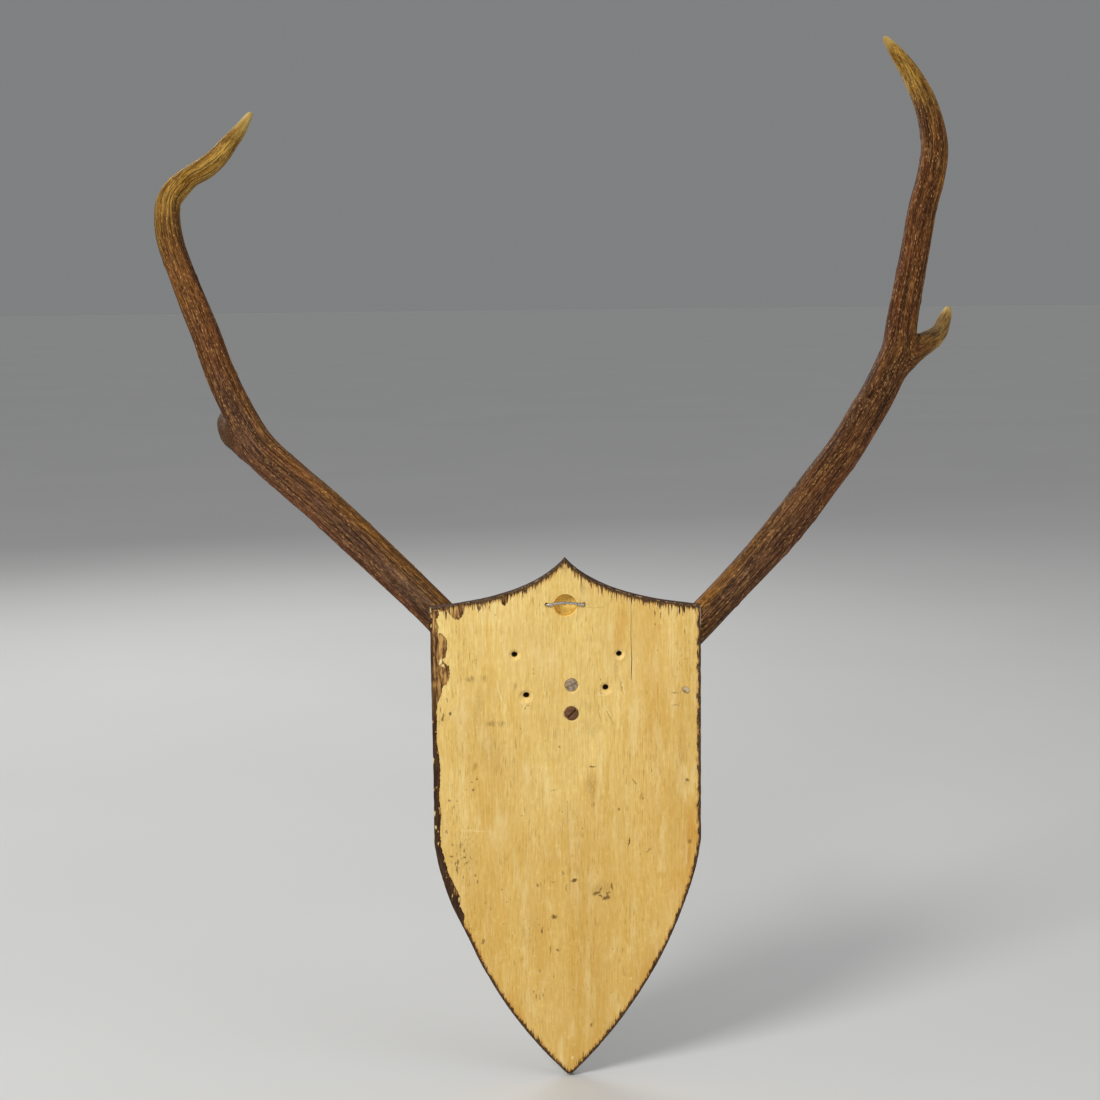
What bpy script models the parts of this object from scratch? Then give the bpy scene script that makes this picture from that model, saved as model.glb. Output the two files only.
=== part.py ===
"""Red deer antlers on a shield-shaped wall board, in metres, +Z up.

The board's back lies in the plane y = 0 and faces +Y. The antlers stand on the other side, towards -Y.
The origin is on the back, on the board's centre line, 242 mm above its bottom tip.
"""

import math

import bmesh
import bpy
from mathutils import Matrix, Vector

# Spaces between pieces, and how far a cutter runs past the face it cuts
GAP = 0.0003
CLEARANCE = 0.00035
OVERRUN = 0.002

# Board
SHIELD_THICKNESS = 0.022
SHIELD_HALF_WIDTH = 0.1138
SHIELD_APEX = 0.210
SHIELD_CORNER = 0.169
SHIELD_SHOULDER = -0.033
SHIELD_TIP = -0.242
TOP_CURVE = [
    (0.0, SHIELD_APEX),
    (0.022, 0.184),
    (0.066, 0.1735),
    (SHIELD_HALF_WIDTH, SHIELD_CORNER),
]
LOWER_CURVE = [
    (SHIELD_HALF_WIDTH, SHIELD_SHOULDER),
    (0.1088, -0.080),
    (0.0745, -0.171),
    (0.0, SHIELD_TIP),
]
TOP_CURVE_STEPS = 11
LOWER_CURVE_STEPS = 14
BACK_CHAMFER = 0.0012

# Board edge, from its back to its front: depth and how far the outline is drawn in
EDGE_PROFILE = [
    (0.0, BACK_CHAMFER),
    (BACK_CHAMFER, 0.0),
    (0.0105, 0.0),
    (0.0120, 0.0022),
    (0.0140, 0.0060),
    (0.0175, 0.0086),
    (0.0205, 0.0094),
    (SHIELD_THICKNESS, 0.0115),
]

# Recess and hanging wire
RECESS_RADIUS = 0.0095
RECESS_DEPTH = 0.008
RECESS_HEIGHT = 0.170
RECESS_SIDES = 32
WIRE_RADIUS = 0.00115
WIRE_HALF_SPAN = 0.0165
WIRE_HEIGHT = 0.1708
WIRE_STANDOFF = 0.0014
WIRE_ARCH = 0.0017
WIRE_BEND = 0.002
WIRE_LEG = 0.010
WIRE_HOLE_RADIUS = 0.0019
WIRE_HOLE_SIDES = 12
WIRE_BEND_STEPS = 4
WIRE_BAR_STEPS = 8

# Screws: name, place across, height, head radius, how deep the head lies, turn of its slot in degrees
SCREWS = [
    ("upper_screw", -0.0045, 0.1020, 0.0053, 0.0005, 28),
    ("lower_screw", -0.0045, 0.0775, 0.0058, 0.0003, 44),
]
SCREW_LENGTH = 0.034
SCREW_SIDES = 20
SCREW_SHANK_RADIUS = 0.0023
SCREW_WORN_RADIUS = 0.0021
SCREW_HEAD_RIM = 0.0004
SCREW_HEAD_CONE = 0.0032
SCREW_POINT = 0.006
SCREW_POINT_RADIUS = 0.0004
SLOT_WIDTH = 0.0013
SLOT_DEPTH = 0.0015

# Empty screw holes: place across and height
SPARE_HOLES = [(0.043, 0.129), (-0.045, 0.128), (0.034, 0.0935), (-0.0335, 0.0995)]
SPARE_HOLE_RADIUS = 0.0022
SPARE_SINK_RADIUS = 0.0058
SPARE_SINK_DEPTH = 0.0045
SPARE_SIDES = 16

# Skull plate
PLATE_CENTRE = 0.064
PLATE_TOP = 0.122
PLATE_NOSE = 0.000
PLATE_HALF_WIDTH = 0.044
PLATE_NOSE_HALF_WIDTH = 0.022
PLATE_SQUARENESS = 2.6
PLATE_RIM = 0.006
PLATE_CREST = 0.018
PLATE_FLARE = 1.02
PLATE_SPOKES = 32
PLATE_ROWS = [0.18, 0.36, 0.54, 0.7, 0.83, 0.93, 1.0]
SEAM_DEPTH = 0.0012
SEAM_WIDTH = 0.05
ORBIT_RIDGE_HEIGHT = 0.0030
ORBIT_RIDGE_AT = 0.62
ORBIT_RIDGE_WIDTH = 0.2

# Pedicles, the bone stems of the antlers
PEDICLE_SIDES = 18
PEDICLE_STEP = 0.007
PEDICLE_ROOT = Vector((0.021, -0.022, -0.038))
PEDICLE_ROOT_THICKNESS = 0.034
PEDICLE_FLARE_AT = 0.45
PEDICLE_FLARE_THICKNESS = 0.037
PEDICLE_NECK_RUN = 0.014
PEDICLE_NECK_THICKNESS = 0.0325
PEDICLE_END_RUN = 0.006
PEDICLE_END_THICKNESS = 0.0335
PEDICLE_OVAL = 0.03

# Burr at an antler's base: run along the beam, radius and height of its lumps as a share of the radius
BURR_PROFILE = [
    (0.0000, 0.0167, 0.00),
    (0.0015, 0.0238, 0.05),
    (0.0050, 0.0275, 0.07),
    (0.0085, 0.0256, 0.06),
    (0.0130, 0.0186, 0.02),
]
BURR_LUMPS = [(9, 1.0), (5, 0.6)]

# Surface of the antlers: ridges as count around, height and turn from ring to ring
RIDGES = [(5, 1.0, 0.28), (3, 0.7, 0.9), (9, 0.35, 1.7)]
BEAM_RIDGE_HEIGHT = 0.026
TINE_RIDGE_HEIGHT = 0.022
BEAM_WORN_FROM = 0.62
TINE_WORN_FROM = 0.45
BEAM_SIDES = 20
TINE_SIDES = 12
BEAM_STEP = 0.0154
TINE_STEP = 0.0125

# Beams: x, y and z of the centre line and the thickness there, from burr to tip
LEFT_BEAM = [
    (0.0430, -0.0600, 0.0785, 0.0345),
    (0.0645, -0.0655, 0.1030, 0.0340),
    (0.0900, -0.0640, 0.1300, 0.0322),
    (0.1120, -0.0630, 0.1550, 0.0310),
    (0.1420, -0.0695, 0.1835, 0.0312),
    (0.2060, -0.0860, 0.2425, 0.0323),
    (0.2380, -0.1010, 0.2680, 0.0326),
    (0.2675, -0.1165, 0.2930, 0.0320),
    (0.2850, -0.1315, 0.3185, 0.0290),
    (0.3070, -0.1520, 0.3590, 0.0268),
    (0.3235, -0.1715, 0.3985, 0.0262),
    (0.3475, -0.1935, 0.4530, 0.0245),
    (0.3580, -0.2055, 0.4805, 0.0240),
    (0.3616, -0.2155, 0.5025, 0.0233),
    (0.3606, -0.2220, 0.5165, 0.0223),
    (0.3535, -0.2285, 0.5280, 0.0222),
    (0.3430, -0.2345, 0.5385, 0.0197),
    (0.3300, -0.2400, 0.5465, 0.0205),
    (0.3180, -0.2470, 0.5575, 0.0189),
    (0.3085, -0.2555, 0.5705, 0.0158),
    (0.2995, -0.2645, 0.5830, 0.0118),
    (0.2900, -0.2765, 0.6000, 0.0025),
]
RIGHT_BEAM = [
    (-0.0440, -0.0600, 0.0725, 0.0345),
    (-0.0660, -0.0655, 0.0955, 0.0340),
    (-0.0910, -0.0640, 0.1195, 0.0318),
    (-0.1235, -0.0630, 0.1515, 0.0296),
    (-0.1595, -0.0715, 0.1880, 0.0298),
    (-0.1835, -0.0790, 0.2130, 0.0319),
    (-0.2060, -0.0865, 0.2385, 0.0325),
    (-0.2275, -0.1000, 0.2635, 0.0318),
    (-0.2490, -0.1140, 0.2885, 0.0310),
    (-0.2670, -0.1280, 0.3140, 0.0314),
    (-0.2840, -0.1410, 0.3395, 0.0305),
    (-0.2975, -0.1525, 0.3640, 0.0298),
    (-0.3035, -0.1580, 0.3790, 0.0288),
    (-0.3085, -0.1665, 0.4055, 0.0272),
    (-0.3200, -0.1765, 0.4590, 0.0257),
    (-0.3275, -0.1830, 0.4995, 0.0256),
    (-0.3355, -0.1890, 0.5265, 0.0252),
    (-0.3400, -0.1960, 0.5520, 0.0245),
    (-0.3400, -0.2095, 0.5750, 0.0232),
    (-0.3370, -0.2235, 0.5950, 0.0212),
    (-0.3315, -0.2370, 0.6135, 0.0192),
    (-0.3245, -0.2505, 0.6310, 0.0165),
    (-0.3150, -0.2630, 0.6480, 0.0118),
    (-0.3055, -0.2730, 0.6635, 0.0025),
]

# Tines: the same, from the beam's centre line to the tip
LEFT_TREZ = [
    (0.2840, -0.1310, 0.3095, 0.0270),
    (0.2925, -0.1480, 0.3060, 0.0308),
    (0.3015, -0.1760, 0.3100, 0.0285),
    (0.3055, -0.2000, 0.3120, 0.0258),
    (0.3075, -0.2260, 0.3115, 0.0215),
    (0.3085, -0.2520, 0.3125, 0.0168),
    (0.3095, -0.2970, 0.3150, 0.0025),
]
RIGHT_TREZ = [
    (-0.2975, -0.1525, 0.3625, 0.0262),
    (-0.3085, -0.1565, 0.3680, 0.0228),
    (-0.3210, -0.1665, 0.3750, 0.0214),
    (-0.3325, -0.1820, 0.3805, 0.0203),
    (-0.3435, -0.2050, 0.3840, 0.0177),
    (-0.3535, -0.2300, 0.3890, 0.0155),
    (-0.3615, -0.2550, 0.3965, 0.0132),
    (-0.3680, -0.2750, 0.4035, 0.0098),
    (-0.3730, -0.2910, 0.4098, 0.0022),
]
LEFT_BROW = [
    (0.0625, -0.0655, 0.1005, 0.0280),
    (0.0660, -0.0880, 0.0965, 0.0260),
    (0.0710, -0.1200, 0.0905, 0.0235),
    (0.0770, -0.1600, 0.0910, 0.0200),
    (0.0820, -0.2000, 0.1000, 0.0145),
    (0.0845, -0.2320, 0.1160, 0.0028),
]
RIGHT_BROW = [
    (-0.0640, -0.0655, 0.0930, 0.0280),
    (-0.0680, -0.0880, 0.0885, 0.0256),
    (-0.0745, -0.1200, 0.0815, 0.0230),
    (-0.0820, -0.1600, 0.0820, 0.0195),
    (-0.0875, -0.1980, 0.0905, 0.0140),
    (-0.0900, -0.2280, 0.1060, 0.0028),
]

# How far along its centre line each tine is parted from its beam
TREZ_SPLIT_LEFT = 0.036
TREZ_SPLIT_RIGHT = 0.037
BROW_SPLIT = 0.025

# Colours
PALE_WOOD = (0.62, 0.42, 0.18)
DARK_ANTLER = (0.16, 0.09, 0.045)
GOLD_ANTLER = (0.38, 0.24, 0.11)
OLD_BONE = (0.62, 0.55, 0.42)
STEEL = (0.55, 0.53, 0.50)
RUST = (0.17, 0.10, 0.06)


# Scene and materials

def remove_all_objects():
    for thing in list(bpy.data.objects):
        bpy.data.objects.remove(thing, do_unlink=True)


def make_material(name, colour, roughness, metallic=0.0):
    material = bpy.data.materials.new(name)
    material.use_nodes = True
    shader = material.node_tree.nodes["Principled BSDF"]
    shader.inputs["Base Color"].default_value = (*colour, 1.0)
    shader.inputs["Roughness"].default_value = roughness
    shader.inputs["Metallic"].default_value = metallic
    return material


def finish_mesh(name, mesh_data, material=None, sharp_angle=40):
    """Make an object of a bmesh, its faces pointing out, and shade it smooth between sharp edges."""
    bmesh.ops.recalc_face_normals(mesh_data, faces=mesh_data.faces)
    mesh = bpy.data.meshes.new(name)
    mesh_data.to_mesh(mesh)
    mesh_data.free()
    mesh.shade_smooth()
    mesh.set_sharp_from_angle(angle=math.radians(sharp_angle))
    thing = bpy.data.objects.new(name, mesh)
    bpy.context.collection.objects.link(thing)
    if material:
        mesh.materials.append(material)
    return thing


def add_boolean(thing, other, operation):
    modifier = thing.modifiers.new(other.name, "BOOLEAN")
    modifier.object = other
    modifier.operation = operation
    modifier.solver = "EXACT"
    other.hide_render = True
    other.display_type = "WIRE"


def make_box(name, low, high):
    """Block between two corners."""
    low = Vector(low)
    high = Vector(high)
    box = bmesh.new()
    bmesh.ops.create_cube(box, size=1.0)
    size = Matrix.Diagonal((*(high - low), 1))
    bmesh.ops.transform(box, matrix=Matrix.Translation((low + high) / 2) @ size, verts=box.verts)
    return finish_mesh(name, box)


# Curves

def cubic_bezier(controls, steps):
    """Points along a cubic curve in the plane, the first control included and the last one not."""
    points = []
    for step in range(steps):
        t = step / steps
        weights = ((1 - t) ** 3, 3 * t * (1 - t) ** 2, 3 * t * t * (1 - t), t ** 3)
        across = sum(weight * control[0] for weight, control in zip(weights, controls))
        height = sum(weight * control[1] for weight, control in zip(weights, controls))
        points.append((across, height))
    return points


def smooth_path(controls, step):
    """Catmull-Rom curve through points that carry a thickness, sampled about every step."""
    vectors = [Vector(control) for control in controls]
    before = vectors[0] * 2 - vectors[1]
    after = vectors[-1] * 2 - vectors[-2]
    padded = [before] + vectors + [after]
    samples = [vectors[0]]
    for i in range(len(vectors) - 1):
        a, b, c, d = padded[i:i + 4]
        count = max(1, round((c.xyz - b.xyz).length / step))
        for k in range(1, count + 1):
            t = k / count
            samples.append(0.5 * (2 * b + (c - a) * t + (2 * a - 5 * b + 4 * c - d) * t * t
                                  + (3 * b - a - 3 * c + d) * t ** 3))
    return samples


def path_frames(samples):
    """Centre, tangent, first and second cross direction at each sample, turned as little as possible."""
    frames = []
    side = Vector((0, -1, 0))
    for i, sample in enumerate(samples):
        tangent = (samples[min(i + 1, len(samples) - 1)].xyz - samples[max(i - 1, 0)].xyz).normalized()
        side = (side - tangent * side.dot(tangent)).normalized()
        frames.append((sample.xyz, tangent, side, tangent.cross(side)))
    return frames


# Lofted tubes

def ring_points(frame, radius, sides, relief):
    """One ring of a tube. relief gives the radius factor at an angle."""
    centre, _, side, other = frame
    points = []
    for k in range(sides):
        angle = math.tau * k / sides
        reach = radius * relief(angle)
        points.append(centre + (side * math.cos(angle) + other * math.sin(angle)) * reach)
    return points


def loft(rings):
    """Closed tube through rings with equal point counts, each end closed by a fan."""
    mesh_data = bmesh.new()
    loops = [[mesh_data.verts.new(point) for point in ring] for ring in rings]
    sides = len(loops[0])
    for lower, upper in zip(loops, loops[1:]):
        for k in range(sides):
            n = (k + 1) % sides
            mesh_data.faces.new((lower[k], lower[n], upper[n], upper[k]))
    for loop in (loops[0], loops[-1]):
        centre = mesh_data.verts.new(sum((vert.co for vert in loop), Vector()) / sides)
        for k in range(sides):
            mesh_data.faces.new((loop[k], loop[(k + 1) % sides], centre))
    return mesh_data


def turned_solid(profile, across, height, sides):
    """Solid turned about a line along Y. profile holds y and radius pairs."""
    rings = []
    for depth, radius in profile:
        centre = Vector((across, depth, height))
        rings.append([
            centre + Vector((math.cos(angle), 0, math.sin(angle))) * radius
            for angle in (math.tau * k / sides for k in range(sides))
        ])
    return loft(rings)


def join_meshes(name, mesh_parts):
    """One object of several closed meshes that lie apart, for cutting."""
    joined = bmesh.new()
    for part in mesh_parts:
        bmesh.ops.recalc_face_normals(part, faces=part.faces)
        mesh = bpy.data.meshes.new(name)
        part.to_mesh(mesh)
        part.free()
        joined.from_mesh(mesh)
    return finish_mesh(name, joined)


# Board

def shield_outline():
    """Outline from the apex down to the tip on +X, then back up on the other side."""
    half = cubic_bezier(TOP_CURVE, TOP_CURVE_STEPS)
    half += [(SHIELD_HALF_WIDTH, SHIELD_CORNER)]
    half += cubic_bezier(LOWER_CURVE, LOWER_CURVE_STEPS)
    other_half = [(-across, height) for across, height in reversed(half[1:])]
    return half + [(0.0, SHIELD_TIP)] + other_half


def draw_in(outline, distance):
    """The outline moved inwards by a distance, its corners mitred."""
    moved = []
    count = len(outline)
    for i in range(count):
        before = Vector(outline[i - 1])
        here = Vector(outline[i])
        after = Vector(outline[(i + 1) % count])
        first = (here - before).normalized()
        second = (after - here).normalized()
        inward_first = Vector((first.y, -first.x))
        inward_second = Vector((second.y, -second.x))
        shift = (inward_first + inward_second) / (1 + inward_first.dot(inward_second))
        moved.append(here + shift * distance)
    return moved


def shield_blank():
    outline = shield_outline()
    mesh_data = bmesh.new()
    loops = []
    for depth, inset in EDGE_PROFILE:
        loops.append([mesh_data.verts.new((p.x, -depth, p.y)) for p in draw_in(outline, inset)])
    count = len(outline)
    for back, front in zip(loops, loops[1:]):
        for k in range(count):
            n = (k + 1) % count
            mesh_data.faces.new((back[k], back[n], front[n], front[k]))
    mesh_data.faces.new(loops[0])
    mesh_data.faces.new(loops[-1])
    return mesh_data


def screw_holes():
    """Cutters with the screws' own shape and some clearance, open to the back."""
    holes = []
    for _, across, height, head_radius, sunk, _ in SCREWS:
        head_radius += CLEARANCE
        shank_radius = SCREW_SHANK_RADIUS + CLEARANCE
        profile = [
            (OVERRUN, head_radius + sunk),
            (-sunk - SCREW_HEAD_RIM - CLEARANCE, head_radius),
            (-sunk - SCREW_HEAD_CONE - CLEARANCE, shank_radius),
            (-SCREW_LENGTH - OVERRUN, shank_radius),
        ]
        holes.append(turned_solid(profile, across, height, SCREW_SIDES))
    return holes


def wire_holes():
    profile = [(OVERRUN, WIRE_HOLE_RADIUS), (-WIRE_LEG - OVERRUN, WIRE_HOLE_RADIUS)]
    return [
        turned_solid(profile, sign * WIRE_HALF_SPAN, WIRE_HEIGHT, WIRE_HOLE_SIDES)
        for sign in (-1, 1)
    ]


def spare_holes():
    """Cutters for the empty holes: a cone at the back and a bore right through."""
    profile = [
        (OVERRUN, SPARE_SINK_RADIUS + OVERRUN),
        (-SPARE_SINK_DEPTH, SPARE_HOLE_RADIUS),
        (-SHIELD_THICKNESS - OVERRUN, SPARE_HOLE_RADIUS),
    ]
    return [turned_solid(profile, across, height, SPARE_SIDES) for across, height in SPARE_HOLES]


def make_shield(material):
    shield = finish_mesh("shield", shield_blank(), material)
    recess = turned_solid([(OVERRUN, RECESS_RADIUS), (-RECESS_DEPTH, RECESS_RADIUS)],
                          0, RECESS_HEIGHT, RECESS_SIDES)
    cutters = [recess] + wire_holes() + screw_holes() + spare_holes()
    add_boolean(shield, join_meshes("shield_holes", cutters), "DIFFERENCE")
    return shield


# Fastenings

def make_screw(spec, material):
    name, across, height, head_radius, sunk, slot_turn = spec
    profile = [
        (-sunk, head_radius),
        (-sunk - SCREW_HEAD_RIM, head_radius),
        (-sunk - SCREW_HEAD_CONE, SCREW_SHANK_RADIUS),
        (-SCREW_LENGTH + SCREW_POINT, SCREW_WORN_RADIUS),
        (-SCREW_LENGTH, SCREW_POINT_RADIUS),
    ]
    screw = finish_mesh(name, turned_solid(profile, across, height, SCREW_SIDES), material)
    slot = bmesh.new()
    bmesh.ops.create_cube(slot, size=1.0)
    size = Matrix.Diagonal((2 * head_radius + OVERRUN, 2 * SLOT_DEPTH, SLOT_WIDTH, 1))
    turn = Matrix.Rotation(math.radians(slot_turn), 4, "Y")
    place = Matrix.Translation((across, -sunk, height))
    bmesh.ops.transform(slot, matrix=place @ turn @ size, verts=slot.verts)
    add_boolean(screw, finish_mesh(name + "_slot", slot), "DIFFERENCE")
    return screw


def wire_route():
    """Centre line of the hanging wire: a leg, a bend, the arched bar, and back."""
    corner = [(-WIRE_HALF_SPAN, -WIRE_LEG, WIRE_HEIGHT)]
    for k in range(WIRE_BEND_STEPS + 1):
        angle = math.pi / 2 * k / WIRE_BEND_STEPS
        across = -WIRE_HALF_SPAN + WIRE_BEND * (1 - math.cos(angle))
        depth = WIRE_STANDOFF - WIRE_BEND * (1 - math.sin(angle))
        corner.append((across, depth, WIRE_HEIGHT))
    half_bar = WIRE_HALF_SPAN - WIRE_BEND
    bar = []
    for k in range(1, WIRE_BAR_STEPS):
        share = k / WIRE_BAR_STEPS
        rise = WIRE_ARCH * math.sin(math.pi * share)
        bar.append((half_bar * (2 * share - 1), WIRE_STANDOFF, WIRE_HEIGHT + rise))
    return corner + bar + [(-x, y, z) for x, y, z in reversed(corner)]


def make_hanging_wire(material):
    curve = bpy.data.curves.new("hanging_wire", "CURVE")
    curve.dimensions = "3D"
    curve.bevel_depth = WIRE_RADIUS
    curve.bevel_resolution = 3
    curve.use_fill_caps = True
    route = wire_route()
    spline = curve.splines.new("POLY")
    spline.points.add(len(route) - 1)
    for point, place in zip(spline.points, route):
        point.co = (*place, 1.0)
    wire = bpy.data.objects.new("hanging_wire", curve)
    bpy.context.collection.objects.link(wire)
    curve.materials.append(material)
    return wire


# Antlers

def ridged(height, ring):
    """Radius factor of an antler's long ridges and grooves at one ring."""
    def factor(angle):
        return 1 + height * sum(
            share * math.cos(count * angle + turn * ring) for count, share, turn in RIDGES
        )
    return factor


def lumpy(height):
    """Radius factor of the knobbly ring at an antler's base."""
    def factor(angle):
        return 1 + height * sum(share * math.cos(count * angle) for count, share in BURR_LUMPS)
    return factor


def antler_rings(samples, sides, ridge_height, worn_from):
    """Rings along an antler: ridged below, and worn smooth from a share of its length to the tip."""
    rings = []
    last = len(samples) - 1
    for i, (sample, frame) in enumerate(zip(samples, path_frames(samples))):
        left = min(1.0, (1 - i / last) / (1 - worn_from))
        rings.append(ring_points(frame, sample.w / 2, sides, ridged(ridge_height * left, i)))
    return rings


def burr_rings(samples):
    """The base face and the lumps of the burr, before the beam's own rings."""
    centre, tangent, side, other = path_frames(samples)[0]
    return [
        ring_points((centre + tangent * run, tangent, side, other), radius, BEAM_SIDES, lumpy(lump))
        for run, radius, lump in BURR_PROFILE
    ]


def tine_rings(controls, split):
    """Rings of a tine as two lists: the stub that stays on the beam, and the tine itself."""
    samples = smooth_path(controls, TINE_STEP)
    rings = antler_rings(samples, TINE_SIDES, TINE_RIDGE_HEIGHT, TINE_WORN_FROM)
    run = 0.0
    parted = 0
    while run < split:
        parted += 1
        run += (samples[parted].xyz - samples[parted - 1].xyz).length
    tangent = path_frames(samples)[parted][1]
    root = [point + tangent * GAP for point in rings[parted]]
    return rings[:parted + 1], [root] + rings[parted + 1:]


def make_antler(side, beam_controls, tines, dark, gold):
    """One antler: a beam with a stub for each tine, and the tines. tines: name, controls, split."""
    samples = smooth_path(beam_controls, BEAM_STEP)
    beam_rings = antler_rings(samples, BEAM_SIDES, BEAM_RIDGE_HEIGHT, BEAM_WORN_FROM)
    clear_of_burr = [
        ring for ring, sample in zip(beam_rings, samples)
        if (sample.xyz - samples[0].xyz).length > BURR_PROFILE[-1][0] * 1.2
    ]
    beam = finish_mesh(side + "_antler_beam", loft(burr_rings(samples) + clear_of_burr), dark, 60)
    for name, controls, split in tines:
        stub, tine = tine_rings(controls, split)
        add_boolean(beam, finish_mesh(side + "_" + name + "_stub", loft(stub)), "UNION")
        finish_mesh(side + "_" + name, loft(tine), gold, 60)
    return beam


# Skull

def plate_reach(angle):
    """Distance from the plate's centre to its rim, at an angle that is 90 degrees at the top."""
    up = math.sin(angle)
    across = math.cos(angle)
    tall = PLATE_TOP - PLATE_CENTRE
    wide = PLATE_HALF_WIDTH
    if up < 0:
        tall = PLATE_CENTRE - PLATE_NOSE
        wide += (PLATE_NOSE_HALF_WIDTH - PLATE_HALF_WIDTH) * up * up
    squared = abs(across / wide) ** PLATE_SQUARENESS + abs(up / tall) ** PLATE_SQUARENESS
    return squared ** (-1 / PLATE_SQUARENESS)


def plate_height(share, angle):
    """Thickness of the skull plate at a share of the way to its rim: dome, middle seam, eye ridges."""
    dome = max(0.0, 1 - share ** 2.2) ** 0.6
    seam = -SEAM_DEPTH * math.exp(-(share * math.cos(angle) / SEAM_WIDTH) ** 2)
    ridge = math.exp(-((share - ORBIT_RIDGE_AT) / ORBIT_RIDGE_WIDTH) ** 2)
    ridge *= ORBIT_RIDGE_HEIGHT * abs(math.cos(angle)) ** 3
    return PLATE_RIM + (PLATE_CREST - PLATE_RIM) * dome + (seam + ridge) * (1 - share)


def plate_mesh():
    """Domed plate of bone that runs on into the board, to be cut off flat there."""
    back = -SHIELD_THICKNESS - GAP
    angles = [math.tau * k / PLATE_SPOKES for k in range(PLATE_SPOKES)]
    rows = [(share, [back - plate_height(share, angle) for angle in angles]) for share in PLATE_ROWS]
    rows.append((PLATE_FLARE, [back - PLATE_RIM / 2] * PLATE_SPOKES))
    rows.append((PLATE_FLARE, [back + OVERRUN] * PLATE_SPOKES))
    mesh_data = bmesh.new()
    loops = []
    for share, depths in rows:
        loop = []
        for angle, depth in zip(angles, depths):
            reach = plate_reach(angle) * share
            place = (math.cos(angle) * reach, depth, PLATE_CENTRE + math.sin(angle) * reach)
            loop.append(mesh_data.verts.new(place))
        loops.append(loop)
    crown = mesh_data.verts.new((0, back - plate_height(0, math.pi / 2), PLATE_CENTRE))
    for k in range(PLATE_SPOKES):
        n = (k + 1) % PLATE_SPOKES
        mesh_data.faces.new((crown, loops[0][k], loops[0][n]))
        for inner, outer in zip(loops, loops[1:]):
            mesh_data.faces.new((inner[k], outer[k], outer[n], inner[n]))
    mesh_data.faces.new(loops[-1])
    return mesh_data


def pedicle_mesh(beam_controls):
    """Bone stem from inside the plate to just under an antler's burr, its end square to the beam."""
    base, tangent, _, _ = path_frames(smooth_path(beam_controls, BEAM_STEP))[0]
    outward = math.copysign(1, base.x)
    root = Vector((outward * PEDICLE_ROOT.x, PEDICLE_ROOT.y, base.z + PEDICLE_ROOT.z))
    neck = base - tangent * PEDICLE_NECK_RUN
    controls = [
        (*root, PEDICLE_ROOT_THICKNESS),
        (*root.lerp(neck, PEDICLE_FLARE_AT), PEDICLE_FLARE_THICKNESS),
        (*neck, PEDICLE_NECK_THICKNESS),
        (*(base - tangent * PEDICLE_END_RUN), PEDICLE_NECK_THICKNESS),
        (*(base - tangent * GAP), PEDICLE_END_THICKNESS),
    ]
    samples = smooth_path(controls, PEDICLE_STEP)
    return loft([
        ring_points(frame, sample.w / 2, PEDICLE_SIDES, lambda angle: 1 + PEDICLE_OVAL * math.cos(2 * angle))
        for sample, frame in zip(samples, path_frames(samples))
    ])


def make_skull_cap(material):
    """Skull plate with both pedicles, cut off flat at the board and drilled for the screws."""
    skull = finish_mesh("skull_cap", plate_mesh(), material)
    for side, controls in (("left", LEFT_BEAM), ("right", RIGHT_BEAM)):
        add_boolean(skull, finish_mesh(side + "_pedicle", pedicle_mesh(controls)), "UNION")
    saw_cut = make_box(
        "saw_cut",
        (-SHIELD_HALF_WIDTH, -SHIELD_THICKNESS - GAP, SHIELD_TIP),
        (SHIELD_HALF_WIDTH, 0, SHIELD_APEX),
    )
    add_boolean(skull, saw_cut, "DIFFERENCE")
    add_boolean(skull, join_meshes("skull_screw_holes", screw_holes()), "DIFFERENCE")
    return skull


def main():
    remove_all_objects()
    wood = make_material("pale_wood", PALE_WOOD, 0.7)
    dark = make_material("dark_antler", DARK_ANTLER, 0.55)
    gold = make_material("gold_antler", GOLD_ANTLER, 0.45)
    bone = make_material("old_bone", OLD_BONE, 0.6)
    steel = make_material("steel", STEEL, 0.35, 1.0)
    rust = make_material("rusty_steel", RUST, 0.7, 0.8)
    make_shield(wood)
    make_skull_cap(bone)
    upper_screw, lower_screw = SCREWS
    make_screw(upper_screw, steel)
    make_screw(lower_screw, rust)
    make_hanging_wire(steel)
    left_tines = [("brow_tine", LEFT_BROW, BROW_SPLIT), ("trez_tine", LEFT_TREZ, TREZ_SPLIT_LEFT)]
    right_tines = [("brow_tine", RIGHT_BROW, BROW_SPLIT), ("trez_tine", RIGHT_TREZ, TREZ_SPLIT_RIGHT)]
    make_antler("left", LEFT_BEAM, left_tines, dark, gold)
    make_antler("right", RIGHT_BEAM, right_tines, dark, gold)


main()
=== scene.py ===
"""Red deer antlers on a shield-shaped wall board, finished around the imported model.

Metres, +Z up. The board's bare back lies in the plane y = 0 and faces +Y, towards the camera.
The antlers stand on its other side, towards -Y.
"""

import math
import random

import bmesh
import bpy
import numpy as np
from mathutils import Matrix, Vector, kdtree, noise


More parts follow.
